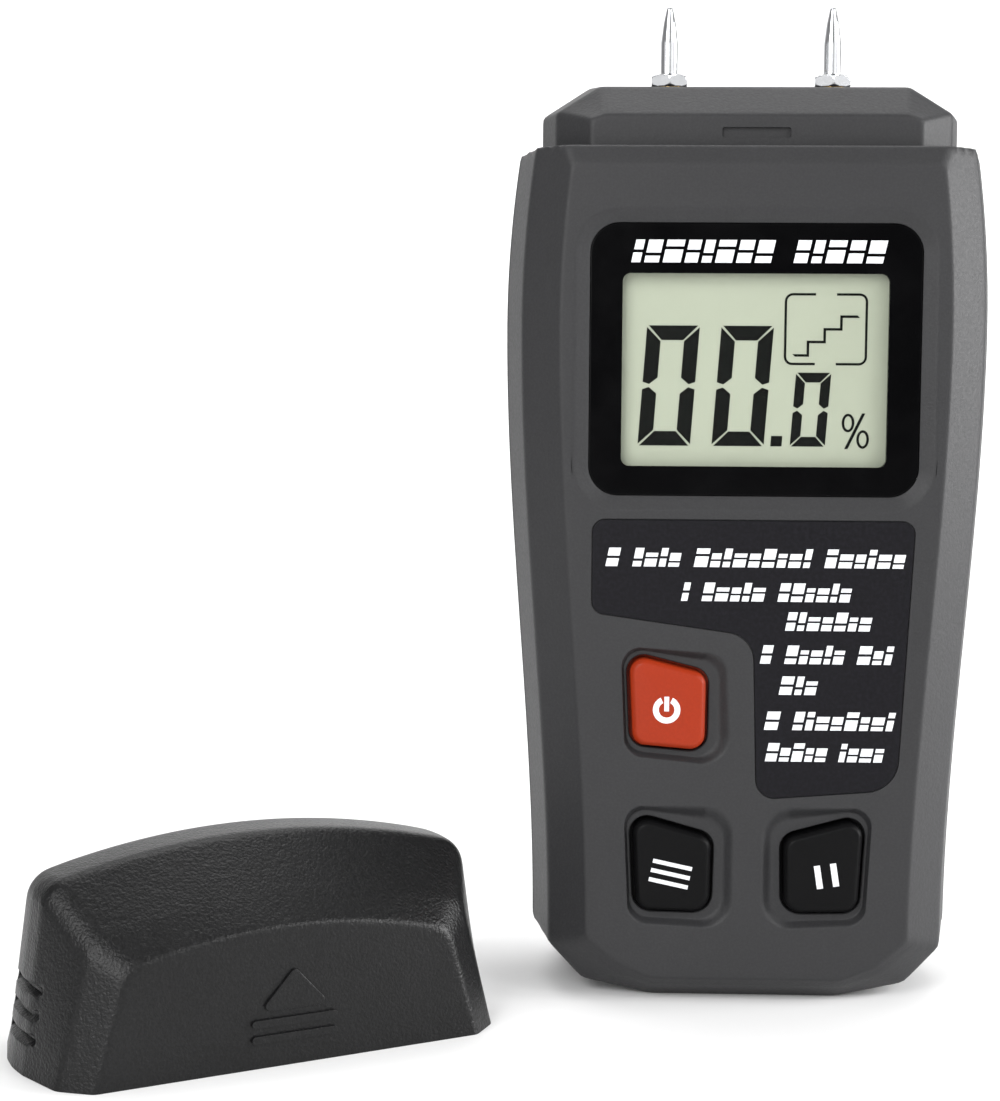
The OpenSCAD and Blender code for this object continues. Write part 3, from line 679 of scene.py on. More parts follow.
def pocket_rings():
    """A soft rim and a straight wall down to the floor of the label pocket."""
    table = soften([(0.3, 0), (0.06, 0), (0, 0.06), (0, LABEL_T)], 9, 0.05)
    return [at_depth(rounded(grown(LABEL, grow), CORNER_STEPS), FRONT + depth) for grow, depth in table]


print("window from", BEZEL[1], "to", BEZEL[2])


# %% Front shell
def front_shell():
    """Closed skin: the face with its openings, the bevels, the parting edge and the hollow inside."""
    outer, inner = shell_rings(outer_table, -1), shell_rings(inner_table, -1)
    openings = [
        window_rings(),
        dish_rings(POWER_DISH, POWER),
        dish_rings(MODE_DISH, MODE),
        dish_rings(mirror(MODE_DISH), mirror(MODE)),
    ]
    pocket = pocket_rings()
    skin = Skin().grid(outer + inner)
    skin.cap(outer[0], *[rings[0] for rings in openings], pocket[0])
    skin.cap(inner[-1], *[rings[-1] for rings in openings])
    for rings in openings:
        skin.grid(rings)
    skin.grid(pocket).cap(pocket[-1])
    return skin.build("front_shell")


front_case = front_shell()
print(len(front_case.data.polygons), "faces in the front shell")

# %% [markdown]
# ## Head
# The head that the cap plugs onto is a smaller block with a flat front, a broad chamfer over the
# top and slanted ends. It uses the same trick as the case: rows of half width, chamfer and top
# height, softened. It is joined to the case with a boolean union, because both are one moulding.
# The latch recess in its front, the pin holes and the screw bosses are cut or joined the same way.

# %% Head rings
HEAD_FRONT, HEAD_HALF, HEAD_FACE_HALF = 11.8, SHOULDER_HALF - 3.0, SHOULDER_HALF - 9.6
PIN_X, PIN_HOLE_R = 11.25, 2.1
LATCH_HALF, LATCH_LOW, LATCH_HIGH, LATCH_D = 4.6, SHOULDER + 1.2, SHOULDER + 2.6, 0.5
FRONT_BOSS_R, REAR_BOSS_R, PILOT_R = 2.8, 3.4, 1.1


def head_ring(half, chamfer_half, top, chamfer_h, low, y):
    """Outline of the head at depth y: up the side, over the end chamfer and across the top, mirrored."""
    side = [(half, low), (half, top - chamfer_h), (chamfer_half, top), (0, top)]
    whole = np.vstack([side, np.array(side)[-2::-1] * [-1, 1]])
    arch = soften(whole, 150, 0.35)
    arch[0], arch[-1] = whole[0], whole[-1]
    return at_depth(arch, y)


def head_rings(table, low, side):
    """Rings of the head for rows of (half, chamfer half, top, chamfer height, depth from the middle)."""
    return [head_ring(*row[:4], low, side * row[4]) for row in table]


head_table = soften([
    (HEAD_FACE_HALF - 1, HEAD_FACE_HALF - 2.8, SHOULDER + 3.4, 0.6, HEAD_FRONT),
    (HEAD_FACE_HALF, HEAD_FACE_HALF - 2, SHOULDER + 4.2, 0.6, HEAD_FRONT),
    (HEAD_HALF - 1.9, HEAD_FACE_HALF - 1.2, HEAD_TOP - 0.7, 3.6, HEAD_FRONT - 4.6),
    (HEAD_HALF, HEAD_FACE_HALF, HEAD_TOP, 4.2, 0),
], 44, 0.35)
hollow_table = [
    (HEAD_FACE_HALF - 0.7, HEAD_FACE_HALF - 2.7, SHOULDER + 3.5, 0.6, HEAD_FRONT - 1.8),
    (HEAD_HALF - 3.7, HEAD_FACE_HALF - 1.9, HEAD_TOP - 2.5, 3.6, HEAD_FRONT - 5.3),
    (HEAD_HALF - 1.8, HEAD_FACE_HALF - 0.7, HEAD_TOP - 1.8, 4.2, -1.0),
]


def solid(rings, name):
    """Closed block through a stack of rings, capped at both ends."""
    return Skin().grid(rings).cap(rings[0]).cap(rings[-1]).build(name)


def rod(name, x, z, radius, y0, y1, sides=48):
    """Cylinder along Y."""
    turn = np.linspace(0, 2 * np.pi, sides, endpoint=False)
    circle = np.column_stack([x + radius * np.cos(turn), z + radius * np.sin(turn)])
    return solid([at_depth(circle, y0), at_depth(circle, y1)], name)


def upright(name, x, radius, z0, z1, sides=48):
    """Cylinder along Z in the parting plane."""
    turn = np.linspace(0, 2 * np.pi, sides, endpoint=False)
    circle = np.column_stack([x + radius * np.cos(turn), radius * np.sin(turn)])
    rings = [np.column_stack([circle, np.full(sides, z)]) for z in (z0, z1)]
    return solid(rings, name)


def brick(name, low, high):
    """Box between two corners."""
    (x0, y0, z0), (x1, y1, z1) = low, high
    loop = np.array([(x0, z0), (x0, z1), (x1, z1), (x1, z0)], float)
    return solid([at_depth(loop, y0), at_depth(loop, y1)], name)


def finish_half(shell, side):
    """Head, hollow and pin holes of one case half."""
    head = solid(head_rings(head_table, SHOULDER - 1, side), "head")
    combine(shell, "UNION", head)
    hollow = solid(head_rings(hollow_table, SHOULDER - WALL - 1, side), "hollow")
    holes = [upright("pin_hole", x, PIN_HOLE_R, HEAD_TOP - 5, HEAD_TOP + 2) for x in (-PIN_X, PIN_X)]
    return combine(shell, "DIFFERENCE", hollow, *holes)


LOW_SCREW, HIGH_SCREW = (22.0, 12.0), (24.0, 110.5)
SCREW_SPOTS = [(side * x, z) for side in (-1, 1) for x, z in (LOW_SCREW, HIGH_SCREW)]


def four_rods(name, radius, y0, y1):
    """One rod along Y at each case screw."""
    return [rod(name, x, z, radius, y0, y1) for x, z in SCREW_SPOTS]


def trimmed_bosses(side, radius, y0, y1, under=0.5):
    """Four screw bosses in one piece, trimmed a little under the outside of that case half."""
    first, *others = four_rods("boss", radius, y0, y1)
    combine(first, "UNION", *others)
    limit = solid(shell_rings(outer_table + [under, under, -under, under], side), "limit")
    return combine(first, "INTERSECT", limit)


finish_half(front_case, -1)
latch_depths = (-HEAD_FRONT - 1, -HEAD_FRONT + LATCH_D)
latch = [plate_ring(LATCH_HALF, LATCH_LOW, LATCH_HIGH, 0.35, y) for y in latch_depths]
combine(front_case, "DIFFERENCE", solid(latch, "latch_recess"))
combine(front_case, "UNION", trimmed_bosses(-1, FRONT_BOSS_R, FRONT + FACE_WALL - 0.5, -0.15))
combine(front_case, "DIFFERENCE", *four_rods("pilot_hole", PILOT_R, FRONT + FACE_WALL + 1, 1))
front_case.name = "front_case_moulding"
even_shading(front_case)
place(front_case, "meter", materials["case_plastic"], ["front_case"])

# %% [markdown]
# ## Rear case and battery door
# The rear half is the same shell, cut open for the battery door, with a tub for the battery and
# four sunk screw holes. Here cutting is the honest way, because the real tool makes the same sharp
# shut-offs.

# %% Rear shell
DOOR_HALF, DOOR_TOP, TONGUE, GAP = 16.5, 66.0, 1.0, 0.3
BAY_HALF, BAY_WALL, BAY_LOW, BAY_HIGH, BAY_FLOOR = 13.95, 1.2, 8.0, 64.5, -5.1
DOOR_INNER = BACK - WALL
TONGUE_T, RAIL_T, RAIL_NEAR, RAIL_FAR = 0.8, 1.6, 13.9, 18.8
SINK_R, SINK_D, SCREW_HOLE_R = 2.7, 5.0, 1.55
rear_outer, rear_inner = shell_rings(outer_table, 1), shell_rings(inner_table, 1)
rear_inner[-2:] = [ring + [0, FACE_WALL - WALL, 0] for ring in rear_inner[-2:]]
rear_skin = Skin().grid(rear_outer + rear_inner).cap(rear_outer[0]).cap(rear_inner[-1])
rear_case = finish_half(rear_skin.build("rear_case_moulding"), 1)
tub = brick("tub", (-BAY_HALF - BAY_WALL, BAY_FLOOR - BAY_WALL, BAY_LOW - BAY_WALL),
            (BAY_HALF + BAY_WALL, DOOR_INNER + 0.1, BAY_HIGH + BAY_WALL))
rails = [
    brick("rail", (low_x, DOOR_INNER - RAIL_T, WALL), (high_x, DOOR_INNER + 0.1, DOOR_TOP + 1))
    for low_x, high_x in ((-RAIL_FAR, -RAIL_NEAR), (RAIL_NEAR, RAIL_FAR))
]
combine(rear_case, "UNION", tub, *rails, trimmed_bosses(1, REAR_BOSS_R, 0.15, DOOR_INNER + 0.1))
bay = brick("bay", (-BAY_HALF, BAY_FLOOR, BAY_LOW), (BAY_HALF, BACK + 1, BAY_HIGH))
lead_slot = brick("lead_slot", (-4, BAY_FLOOR + 1, BAY_HIGH - 1), (4, BAY_FLOOR + 4, BAY_HIGH + 3))
gap_half = DOOR_HALF + GAP
opening = brick("opening", (-gap_half, DOOR_INNER - 0.2, -1), (gap_half, BACK + 1, DOOR_TOP + GAP))
channel = brick("channel", (-gap_half - TONGUE, DOOR_INNER - GAP, -1),
                (gap_half + TONGUE, DOOR_INNER + TONGUE_T + GAP, DOOR_TOP + GAP))
sunk = four_rods("sunk_hole", SINK_R, BACK - SINK_D, BACK + 1)
drilled = four_rods("screw_hole", SCREW_HOLE_R, -1, BACK)
combine(rear_case, "DIFFERENCE", bay, lead_slot, opening, channel, *sunk, *drilled)
even_shading(rear_case)
place(rear_case, "meter", materials["case_plastic"], ["rear_case"])


# %% [markdown]
# The door is a plate that slides on two tongues. Its outside is a height field: one grid over its
# width and height, whose depth is worked out from the foot bevel, the thumb grooves, the hollow that
# they lie in and a rounded rim. The lines of the grid crowd together at the rim, so that the radius
# is smooth and the flat middle stays cheap.

# %% Battery door
DOOR_LOW, DOOR_RIM = 1.9, 0.35
GROOVE_LOW, GROOVE_STEP, GROOVE_W, GROOVE_HALF, GROOVE_D = 57.0, 1.6, 0.8, 7.0, 0.45
THUMB_Z, THUMB_HALF_W, THUMB_HALF_H, THUMB_D = 60.6, 10.5, 6.6, 0.35


def band(value, low, high, soft):
    """1 between low and high, 0 outside: a ramp as wide as soft at each, smoothed by 3t^2 - 2t^3."""
    up = np.clip((value - low) / soft + 0.5, 0, 1)
    down = np.clip((high - value) / soft + 0.5, 0, 1)
    step = np.minimum(up, down)
    return step * step * (3 - 2 * step)


def edge_spaced(low, high, count, radius):
    """Values from low to high, crowded near both ends where the rim is rounded."""
    near = radius * (1 - np.cos(np.linspace(0, np.pi / 2, 7)))
    middle = np.linspace(low + radius, high - radius, count)[1:-1]
    return np.concatenate([low + near, middle, (high - near)[::-1]])


def door_height(x, z, rim=DOOR_RIM):
    """Depth of the door: the back face, less the foot bevel, the rim radius, the grooves and the hollow."""
    foot = np.interp(z, [0, 2.3, 3.5, 5], [BACK - 4.5, BACK - 1.2, BACK - 0.04, BACK])
    near = np.minimum(np.minimum(x + DOOR_HALF, DOOR_HALF - x), np.minimum(z - DOOR_LOW, DOOR_TOP - z))
    drop = rim - np.sqrt(np.clip(rim ** 2 - np.clip(rim - near, 0, rim) ** 2, 0, None))
    lows = [GROOVE_LOW + GROOVE_STEP * k for k in range(5)]
    rows = sum(band(z, low, low + GROOVE_W, 0.35) for low in lows)
    grooves = GROOVE_D * rows * band(x, -GROOVE_HALF, GROOVE_HALF, 0.5)
    from_thumb = np.hypot(x / THUMB_HALF_W, (z - THUMB_Z) / THUMB_HALF_H)
    hollow = THUMB_D * np.clip(1 - from_thumb ** 2, 0, 1)
    return foot - drop - grooves - hollow


def rim_of(grid):
    """Closed loop round the edge of a grid of points."""
    return np.vstack([grid[0, :-1], grid[:-1, -1], grid[-1, :0:-1], grid[:0:-1, 0]])


door_x = edge_spaced(-DOOR_HALF, DOOR_HALF, 80, DOOR_RIM)
door_z = edge_spaced(DOOR_LOW, DOOR_TOP, 330, DOOR_RIM)
grid_x, grid_z = np.meshgrid(door_x, door_z)
grid_y = np.maximum(door_height(grid_x, grid_z), DOOR_INNER + 0.05)
door_face = np.stack([grid_x, grid_y, grid_z], axis=-1)
door_rim = rim_of(door_face)
door_back = door_rim * [1, 0, 1] + [0, DOOR_INNER, 0]
door_skin = Skin().grid(door_face, closed=False).grid([door_rim, door_back]).cap(door_back)
door = door_skin.build("door_panel")
tongues = brick("tongues", (-DOOR_HALF - TONGUE, DOOR_INNER + 0.02, 2.2),
                (DOOR_HALF + TONGUE, DOOR_INNER + TONGUE_T, DOOR_TOP - 2))
combine(door, "UNION", tongues)
even_shading(door)
place(door, "battery_door", materials["case_plastic"], ["battery_door"])

# %% [markdown]
# ## Protective cap
# The cap lies beside the meter, on its open rim. It is a shell whose cross-sections are arches: a
# leaning side, a round corner and a low crown. Going from its front face to its middle
# the arch gets wider and taller, first fast over the sloping band and then slowly over the ridge.
# The rows are softened like those of the case, and the slots in its sides are pressed in by
# moving points, which keeps their edges as soft as on a moulding.

# %% Arches of the cap
CAP_H, CAP_WALL, CAP_FACE = box_mm("protective_cap")[1][2], 1.9, HALF_DEPTH - 1.2
CAP_HALF, CAP_FACE_H, ARCH_R = SHOULDER_HALF, 17.6, 4.0
FACE_LOW_HALF, FACE_HALF, FACE_DROP, SPINE_DROP = 25.59, 21.39, 3.2, 4.2
BAND_H = CAP_FACE_H + (CAP_H - CAP_FACE_H) * 0.31
CROWN_SHARE = 10 / 12
SLOT_LOWS, SLOT_H, SLOT_HALF, SLOT_D, SLOT_FROM = (4, 7, 10), 1, 5, 1.0, 28


def arch_ring(half_low, half, top, drop, y, count=260):
    """Open arch: up a leaning side, round its corner and over a crown at top - drop * (x / half)^2."""
    share = np.linspace(CROWN_SHARE, -CROWN_SHARE, 60)
    crown = np.column_stack([half * share, top - drop * share ** 2])
    foot, corner = np.array([half_low, 0.0]), np.array([half, top - drop])
    arc = fillet(foot, corner, crown[0], ARCH_R, 12)
    line = np.vstack([foot, arc, crown, arc[::-1] * [-1, 1], foot * [-1, 1]])
    smooth = soften(line, count, 0.3)
    smooth[0], smooth[-1] = line[0], line[-1]
    return at_depth(smooth, y)


def cap_table(skin):
    """Rows of (low half, half, top, drop, depth) from the face to the middle, pulled in by skin."""
    less = 0.6 * skin
    face = (FACE_LOW_HALF - less, FACE_HALF - less, CAP_FACE_H - less, FACE_DROP, -CAP_FACE + skin)
    slope = (CAP_HALF - 2.3 - skin, CAP_HALF - 6.9 - skin, BAND_H - skin, 3.3, -11 + 0.3 * skin)
    ridge = (CAP_HALF - 0.3 - skin, CAP_HALF - 3.3 - skin, CAP_H - skin, SPINE_DROP, -3.5 + 0.3 * skin)
    spine = (CAP_HALF - skin, CAP_HALF - 3 - skin, CAP_H - skin, SPINE_DROP, 0)
    return face, slope, ridge, spine


def both_halves(rows):
    """The rows followed by the same rows mirrored to the back."""
    rows = np.asarray(rows)
    return np.vstack([rows, rows[-2::-1] * [1, 1, 1, 1, -1]])


outer_rows = cap_table(0)
flat_strip = np.array(outer_rows[0]) - [1.2, 1.2, 1.2, 0, 0]
cap_outer_table = soften(both_halves([flat_strip, *outer_rows]), 130, 0.62)
cap_inner_table = both_halves(cap_table(CAP_WALL))


def side_slots(points):
    """Three level slots in each end: points there move in by up to SLOT_D."""
    x, y, z = np.moveaxis(points, -1, 0)
    rows = sum(band(z, low, low + SLOT_H, 0.4) for low in SLOT_LOWS)
    depth = SLOT_D * rows * band(y, -SLOT_HALF, SLOT_HALF, 0.8) * (np.abs(x) > SLOT_FROM)
    return np.stack([x - np.sign(x) * depth, y, z], axis=-1)


cap_outer = side_slots(np.array([arch_ring(*row) for row in cap_outer_table]))
cap_inner = np.array([arch_ring(*row) for row in cap_inner_table])
cap_skin = Skin()
for rings in (cap_outer, cap_inner):
    cap_skin.grid(rings, closed=False).cap(rings[0]).cap(rings[-1])
cap_skin.cap(*[np.vstack([rings[:, 0], rings[::-1, -1]]) for rings in (cap_outer, cap_inner)])
cap = cap_skin.build("cap_moulding")
print("cap arches", cap_outer.shape[:2], "outside and", cap_inner.shape[:2], "inside")

# %% [markdown]
# The arrow and the two bars on the cap's face are raised a little, with a rolled edge, so that they
# show by their highlights alone. They are made on the cap while it is still square to the axes;
# then its points are turned and carried to its place beside the meter, and the object itself stays
# at the origin.

# %% Marks on the cap
def pillow(name, corners, y_back, y_front, roll=0.18):
    """Flat raised mark with a rolled edge, from y_back towards the viewer to y_front."""
    table = soften([(0, y_back), (0, y_front), (-0.35, y_front)], 14, roll / 2)
    table[:, 0] = np.minimum(table[:, 0], 0)
    rings = [at_depth(rounded(grown(corners, grow)), y) for grow, y in table]
    return solid(rings, name)


ARROW = [(0, 12.4, 0.6), (4.7, 7.2, 0.6), (-4.7, 7.2, 0.6)]
BARS = [box_corners(-5.7, low, 5.7, low + 1.0, 0.45) for low in (5.2, 3.2)]
MARK_BACK, MARK_FRONT = -CAP_FACE + 0.4, -CAP_FACE - 0.4
marks = [pillow("arrow", ARROW, MARK_BACK, MARK_FRONT)]
marks += [pillow("bar", corners, MARK_BACK, MARK_FRONT, 0.1) for corners in BARS]
combine(cap, "UNION", *marks)

CAP_PLACE = np.array([-65.2, -30.5, 0.0])
CAP_TURN = math.radians(29.5)
cosine, sine = math.cos(CAP_TURN), math.sin(CAP_TURN)
spin = np.array([[cosine, -sine, 0], [sine, cosine, 0], [0, 0, 1]])
points = np.zeros(len(cap.data.vertices) * 3)
cap.data.vertices.foreach_get("co", points)
points = points.reshape(-1, 3) @ spin.T + CAP_PLACE * MM
cap.data.vertices.foreach_set("co", points.ravel())
even_shading(cap)
place(cap, "protective_cap", materials["cap_plastic"], ["protective_cap"])
print("cap spans", points.min(0), "to", points.max(0))

# %% [markdown]
# ## Display
# The black bezel is a printed plate set just below the face. The display itself sits deeper, behind
# a clear pane. Its digits are separate dark plates a few hundredths of a millimetre thick, because
# real segments have crisp edges that a texture would blur.

# %% Bezel
def bezel_plate():
    """Closed skin: a profile that goes up the outer edge, over the front and down the opening."""
    back, front = FRONT + LEDGE_D, FRONT + BEZEL_SUNK
    outside = soften([(*BEZEL, back), (*BEZEL, front), (*(BEZEL - 0.8 * GROW), front)], 20, 0.09)
    opening = soften([(*(VIEW + 0.8 * GROW), front), (*VIEW, front), (*VIEW, back)], 20, 0.06)
    rings = [plate_ring(*row) for row in np.vstack([outside, opening])]
    return Skin().grid(rings, wrap=True).build("bezel_plate")


bezel = bezel_plate()
even_shading(bezel)
place(bezel, "meter", materials["bezel_plastic"], ["display_bezel"])


# %% Flat printed shapes
PRINT_T = 0.03


def plates(name, shapes, y, thick=PRINT_T):
    """Thin flat bodies in one piece, from y towards the viewer.

    A shape is a list of loops in X and Z: its outline, and the outline of its hole if it has one.
    """
    skin = Skin()
    for loops in shapes:
        back = [at_depth(np.asarray(loop, float), y) for loop in loops]
        front = [loop - [0, thick, 0] for loop in back]
        for back_loop, front_loop in zip(back, front):
            skin.grid([back_loop, front_loop])
        skin.cap(*front).cap(*back)
    return skin.build(name)


def lean(points, slope, foot):
    """Points pushed right in proportion to their height above foot."""
    points = np.asarray(points, float)
    return points + np.column_stack([(points[:, 1] - foot) * slope, np.zeros(len(points))])


def box_line(x0, z0, x1, z1):
    """Sharp outline of an upright rectangle."""
    return [(x0, z0), (x0, z1), (x1, z1), (x1, z0)]


def oval(x, z, half_w, half_h, sides=28):
    """Outline (x + half_w cos t, z + half_h sin t)."""
    turn = np.linspace(0, -2 * np.pi, sides, endpoint=False)
    return np.column_stack([x + half_w * np.cos(turn), z + half_h * np.sin(turn)])


print("print is", PRINT_T, "mm thick")


# %% [markdown]
# A digit is seven bars in real use; a zero shows six. Each bar has slanted ends, so that neighbours
# meet along a thin gap, and the whole digit leans to the right, by moving every point right in
# proportion to its height. The step line, the broken frame and the percent sign are drawn alike.

# %% Digits
LCD_Y, SEGMENT_T = box_mm("lcd_glass")[0][1], 0.04
LEAN = math.tan(math.radians(4.0))
BIG_LOW, BIG_HIGH, BIG_BAR, SMALL_HIGH, SMALL_BAR = 76.1, 92.2, 1.95, 86.0, 1.3
STAIR_X, STAIR_Z = (5.3, 7.2, 9.4, 11.6, 13.9), (88.3, 90.1, 91.8, 93.5)


def digit(left, right, low, high, bar, gap=0.22):
    """Six bars of a zero: each one is bevelled at its ends so that neighbours meet along a slanted gap."""
    middle = (low + high) / 2
    bars = []
    for z, down in ((high, -1), (low, 1)):
        bars.append([
            (left + gap, z),
            (left + bar + gap * 0.6, z + down * bar),
            (right - bar - gap * 0.6, z + down * bar),
            (right - gap, z),
        ])
    for x, inward in ((left, 1), (right, -1)):
        for end, sign in ((high, -1), (low, 1)):
            near = middle - sign * gap * 0.9
            bars.append([
                (x, end + sign * gap),
                (x + inward * bar, end + sign * (bar + gap * 0.7)),
                (x + inward * bar, near - sign * bar * 0.45),
                (x + inward * bar * 0.45, near),
                (x, near - sign * 0.3),
            ])
    return [lean(shape, LEAN, low) for shape in bars]


def step_line(points, width):
    """Strip of that width along a line that goes only right and up through its corner points."""
    points = np.asarray(points, float)
    shift = np.array([-width / 2, width / 2])
    return np.vstack([points + shift, (points - shift)[::-1]])


def part_frame(x0, z0, x1, z1, radius, width, gap):
    """Left and right half of a thin rounded frame that has a gap in the middle of its top and bottom."""
    outer = rounded(box_corners(x0, z0, x1, z1, radius), 6)
    inner = rounded(grown(box_corners(x0, z0, x1, z1, radius), -width), 6)
    middle = np.array([(x0 + x1) / 2, (z0 + z1) / 2])
    halves = []
    for side in (-1, 1):
        edge_x = middle[0] + side * gap
        walks = []
        for line in (outer, inner):
            away = (line - middle) * [side, 1]
            away = away[away[:, 0] > 0]
            walks.append(away[np.argsort(np.arctan2(away[:, 1], away[:, 0]))] * [side, 1] + middle)
        outside, inside = walks
        top, foot = [(edge_x, z1), (edge_x, z1 - width)], [(edge_x, z0 + width)]
        halves.append(np.vstack([(edge_x, z0), outside, top, inside[::-1], foot]))
    return halves


segments = digit(-15.45, -8.4, BIG_LOW, BIG_HIGH, BIG_BAR)
segments += digit(-5.5, 1.5, BIG_LOW, BIG_HIGH, BIG_BAR)
segments += digit(5.0, 9.7, BIG_LOW, SMALL_HIGH, SMALL_BAR, 0.16)
decimal_point = lean(box_line(2.4, BIG_LOW, 3.9, BIG_LOW + 1.4), LEAN, BIG_LOW)
stairs = np.column_stack([np.repeat(STAIR_X, 2)[1:-1], np.repeat(STAIR_Z, 2)])
percent_slash = [(12.3, 75.8), (14.6, 80.6), (15.05, 80.6), (12.75, 75.8)]
segments += [decimal_point, step_line(stairs, 0.34), percent_slash]
segments += part_frame(4.0, 87.0, 15.1, 96.6, 1.1, 0.32, 1.4)
percent_rings = [[oval(x, z, 0.85, 1.25), oval(x, z, 0.5, 0.9)] for x, z in ((12.75, 79.3), (14.75, 77.1))]
shapes = [[outline] for outline in segments] + percent_rings
place(plates("display_segments", shapes, LCD_Y, SEGMENT_T), "meter", materials["lcd_segment"])

# %% [markdown]
# ## Label and print
# The label under the display is a black film in a shallow pocket, flush with the face. What is
# printed on it here is greeked: rows of slanted white blocks as tall as letters, each with a slit
# across it, and no letter among them. The blocks of one row get their widths from a fixed rhythm, so
# that the row looks set and not like a fence. The line over the display is made the same way.

# %% Label film
film_table = soften([(0, FRONT + LABEL_T), (0, FRONT), (-0.6, FRONT)], 14, 0.06)
film = [at_depth(rounded(grown(LABEL, grow - LABEL_FIT), CORNER_STEPS), y) for grow, y in film_table]
label = solid(film, "label_sheet")
even_shading(label)
place(label, "meter", materials["label_film"], ["label_panel"])


# %% [markdown]
# A row is laid out as a typesetter would: the widths, gaps and word spaces are added up first, and
# then all are scaled by the same factor so that the row fills its measure exactly.

# %% Rows of print
RHYTHM = (1.0, 0.72, 1.0, 0.55, 0.9, 1.1, 0.8, 0.6, 1.05, 0.9)
TALL = (1, 0, 0, 1, 0, 0, 0, 1, 0, 0)
LOW_SHARE = 0.74
SLITS, SLIT_HALF = (0.5, 0.36, 0.64), 0.07
BLOCK_GAP, WORD_SPACE = 0.24, 1.0
TITLE_Z, TITLE_H, TITLE_SLOPE = 102.0, 3.0, 0.22
TITLE_WORDS = [(-16.3, 2.2, 8, 3), (5.2, 17.0, 5, 6)]
LABEL_H, LABEL_SLOPE = 2.5, 0.2
LABEL_ROWS = [
    (-19.4, 20.4, 61.2, [1, 4, 9, 6]),
    (-9.2, 13.3, 56.6, [1, 5, 6]),
    (4.8, 16.1, 52.7, [7]),
    (1.5, 19.0, 48.2, [1, 5, 3]),
    (4.1, 9.0, 44.0, [3]),
    (2.2, 19.4, 39.2, [1, 8]),
    (2.4, 18.1, 34.9, [5, 4]),
]


def row_of_blocks(start, end, z, height, words, slope, seed, capitals=False):
    """Slit blocks from start to end about height z; words gives how many blocks stand in each word."""
    count = sum(words)
    widths = np.array([RHYTHM[(seed + k) % len(RHYTHM)] for k in range(count)])
    total = widths.sum() + BLOCK_GAP * (count - 1) + WORD_SPACE * (len(words) - 1)
    scale = (end - start) / total
    first_of_word = np.cumsum([0, *words])
    shapes, x, foot = [], start, z - height / 2
    for k in range(count):
        tall = capitals or k in first_of_word or TALL[(seed + k) % len(TALL)]
        high = height if tall else height * LOW_SHARE
        slit = SLITS[(seed + k) % len(SLITS)]
        for low_share, high_share in ((0, slit - SLIT_HALF), (slit + SLIT_HALF, 1)):
            block = box_line(x, foot + high * low_share, x + widths[k] * scale, foot + high * high_share)
            shapes.append([lean(block, slope, z)])
        x += (widths[k] + BLOCK_GAP + WORD_SPACE * (k + 1 in first_of_word)) * scale
    return shapes


title = []
for start, end, letters, seed in TITLE_WORDS:
    title += row_of_blocks(start, end, TITLE_Z, TITLE_H, [letters], TITLE_SLOPE, seed, True)
title_print = plates("title_print", title, FRONT + BEZEL_SUNK)
place(title_print, "meter", materials["white_print"])
rows = []
for number, (start, end, z, words) in enumerate(LABEL_ROWS):
    rows += row_of_blocks(start, end, z, LABEL_H, words, LABEL_SLOPE, 3 * number)
label_print = plates("label_print", rows, FRONT)
place(label_print, "meter", materials["white_print"])

# %% [markdown]
# ## Keys
# Each key is a cap that comes through the face, with a flange behind the wall that stops it from
# falling out. Its front is crowned so that a finger finds it. The rings run from the flange over
# the edge to the middle of the crown; the last ones shrink towards the key's middle.

# %% Key caps
KEY_FRONT, FLANGE_FRONT = FRONT - 0.6, FRONT + FACE_WALL + 0.25
FLANGE_BACK = FLANGE_FRONT + 0.9


def key_cap(name, corners, bevel=0.55, crown=0.12):
    """Closed key: flange, wall, soft bevel, and a crown that is flat in its middle half.

    A ring at share of the way out is lifted by crown / 2 * (1 - (2 share - 1)^2).
    """
    flange = [(1.0, FLANGE_BACK), (1.0, FLANGE_FRONT), (0.0, FLANGE_FRONT)]
    wall = soften([
        (0.0, FLANGE_FRONT + 0.01),
        (0.0, KEY_FRONT + 0.7),
        (-bevel, KEY_FRONT + crown),
        (-bevel - 1.0, KEY_FRONT + crown * 0.5),
    ], 44, 0.16)
    table = np.vstack([flange, wall])
    rings = [at_depth(rounded(grown(corners, grow), CORNER_STEPS), y) for grow, y in table]
    rim = rings[-1]
    middle = rim.mean(axis=0)
    for share in np.linspace(0.92, 0.5, 8):
        ring = middle + (rim - middle) * share
        lift = (1 - ((share - 0.5) / 0.5) ** 2) * crown * 0.5
        ring[:, 1] = rim[:, 1] - lift
        rings.append(ring)
    return solid(rings, name)


KEYS = [
    ("power_button", POWER, "power_key", "orange_key"),
    ("mode_button", MODE, "mode_key", "black_key"),
    ("hold_button", mirror(MODE), "hold_key", "black_key"),
]
for name, corners, body, plastic in KEYS:
    key = key_cap(name, corners)
    even_shading(key)
    place(key, body, materials[plastic], [body])


# %% [markdown]
# The signs are thin white plates that ride on the same bodies as their keys, so that they go in with
# them: a broken ring with a bar for power, and plain tilted bars on the two black keys.

# %% Signs on the keys
def arc_outline(x, z, inner, outer, open_half, steps=40):
    """Ring sector about (x, z), open at the top by open_half on each side."""
    turn = np.linspace(np.pi / 2 + open_half, np.pi / 2 - open_half + 2 * np.pi, steps)
    way = np.column_stack([np.cos(turn), np.sin(turn)])
    return np.vstack([way * outer, way[::-1] * inner]) + [x, z]


def tilted_bars(spots, half_w, half_h, angle):
    """Equal bars at spots, all turned together about their common middle by angle degrees."""
    bars = [box_line(x - half_w, z - half_h, x + half_w, z + half_h) for x, z in spots]
    middle = np.mean(spots, axis=0)
    cosine, sine = math.cos(math.radians(angle)), math.sin(math.radians(angle))
    turned = (np.array(bars) - middle) @ np.array([[cosine, sine], [-sine, cosine]]) + middle
    return [[bar] for bar in turned]


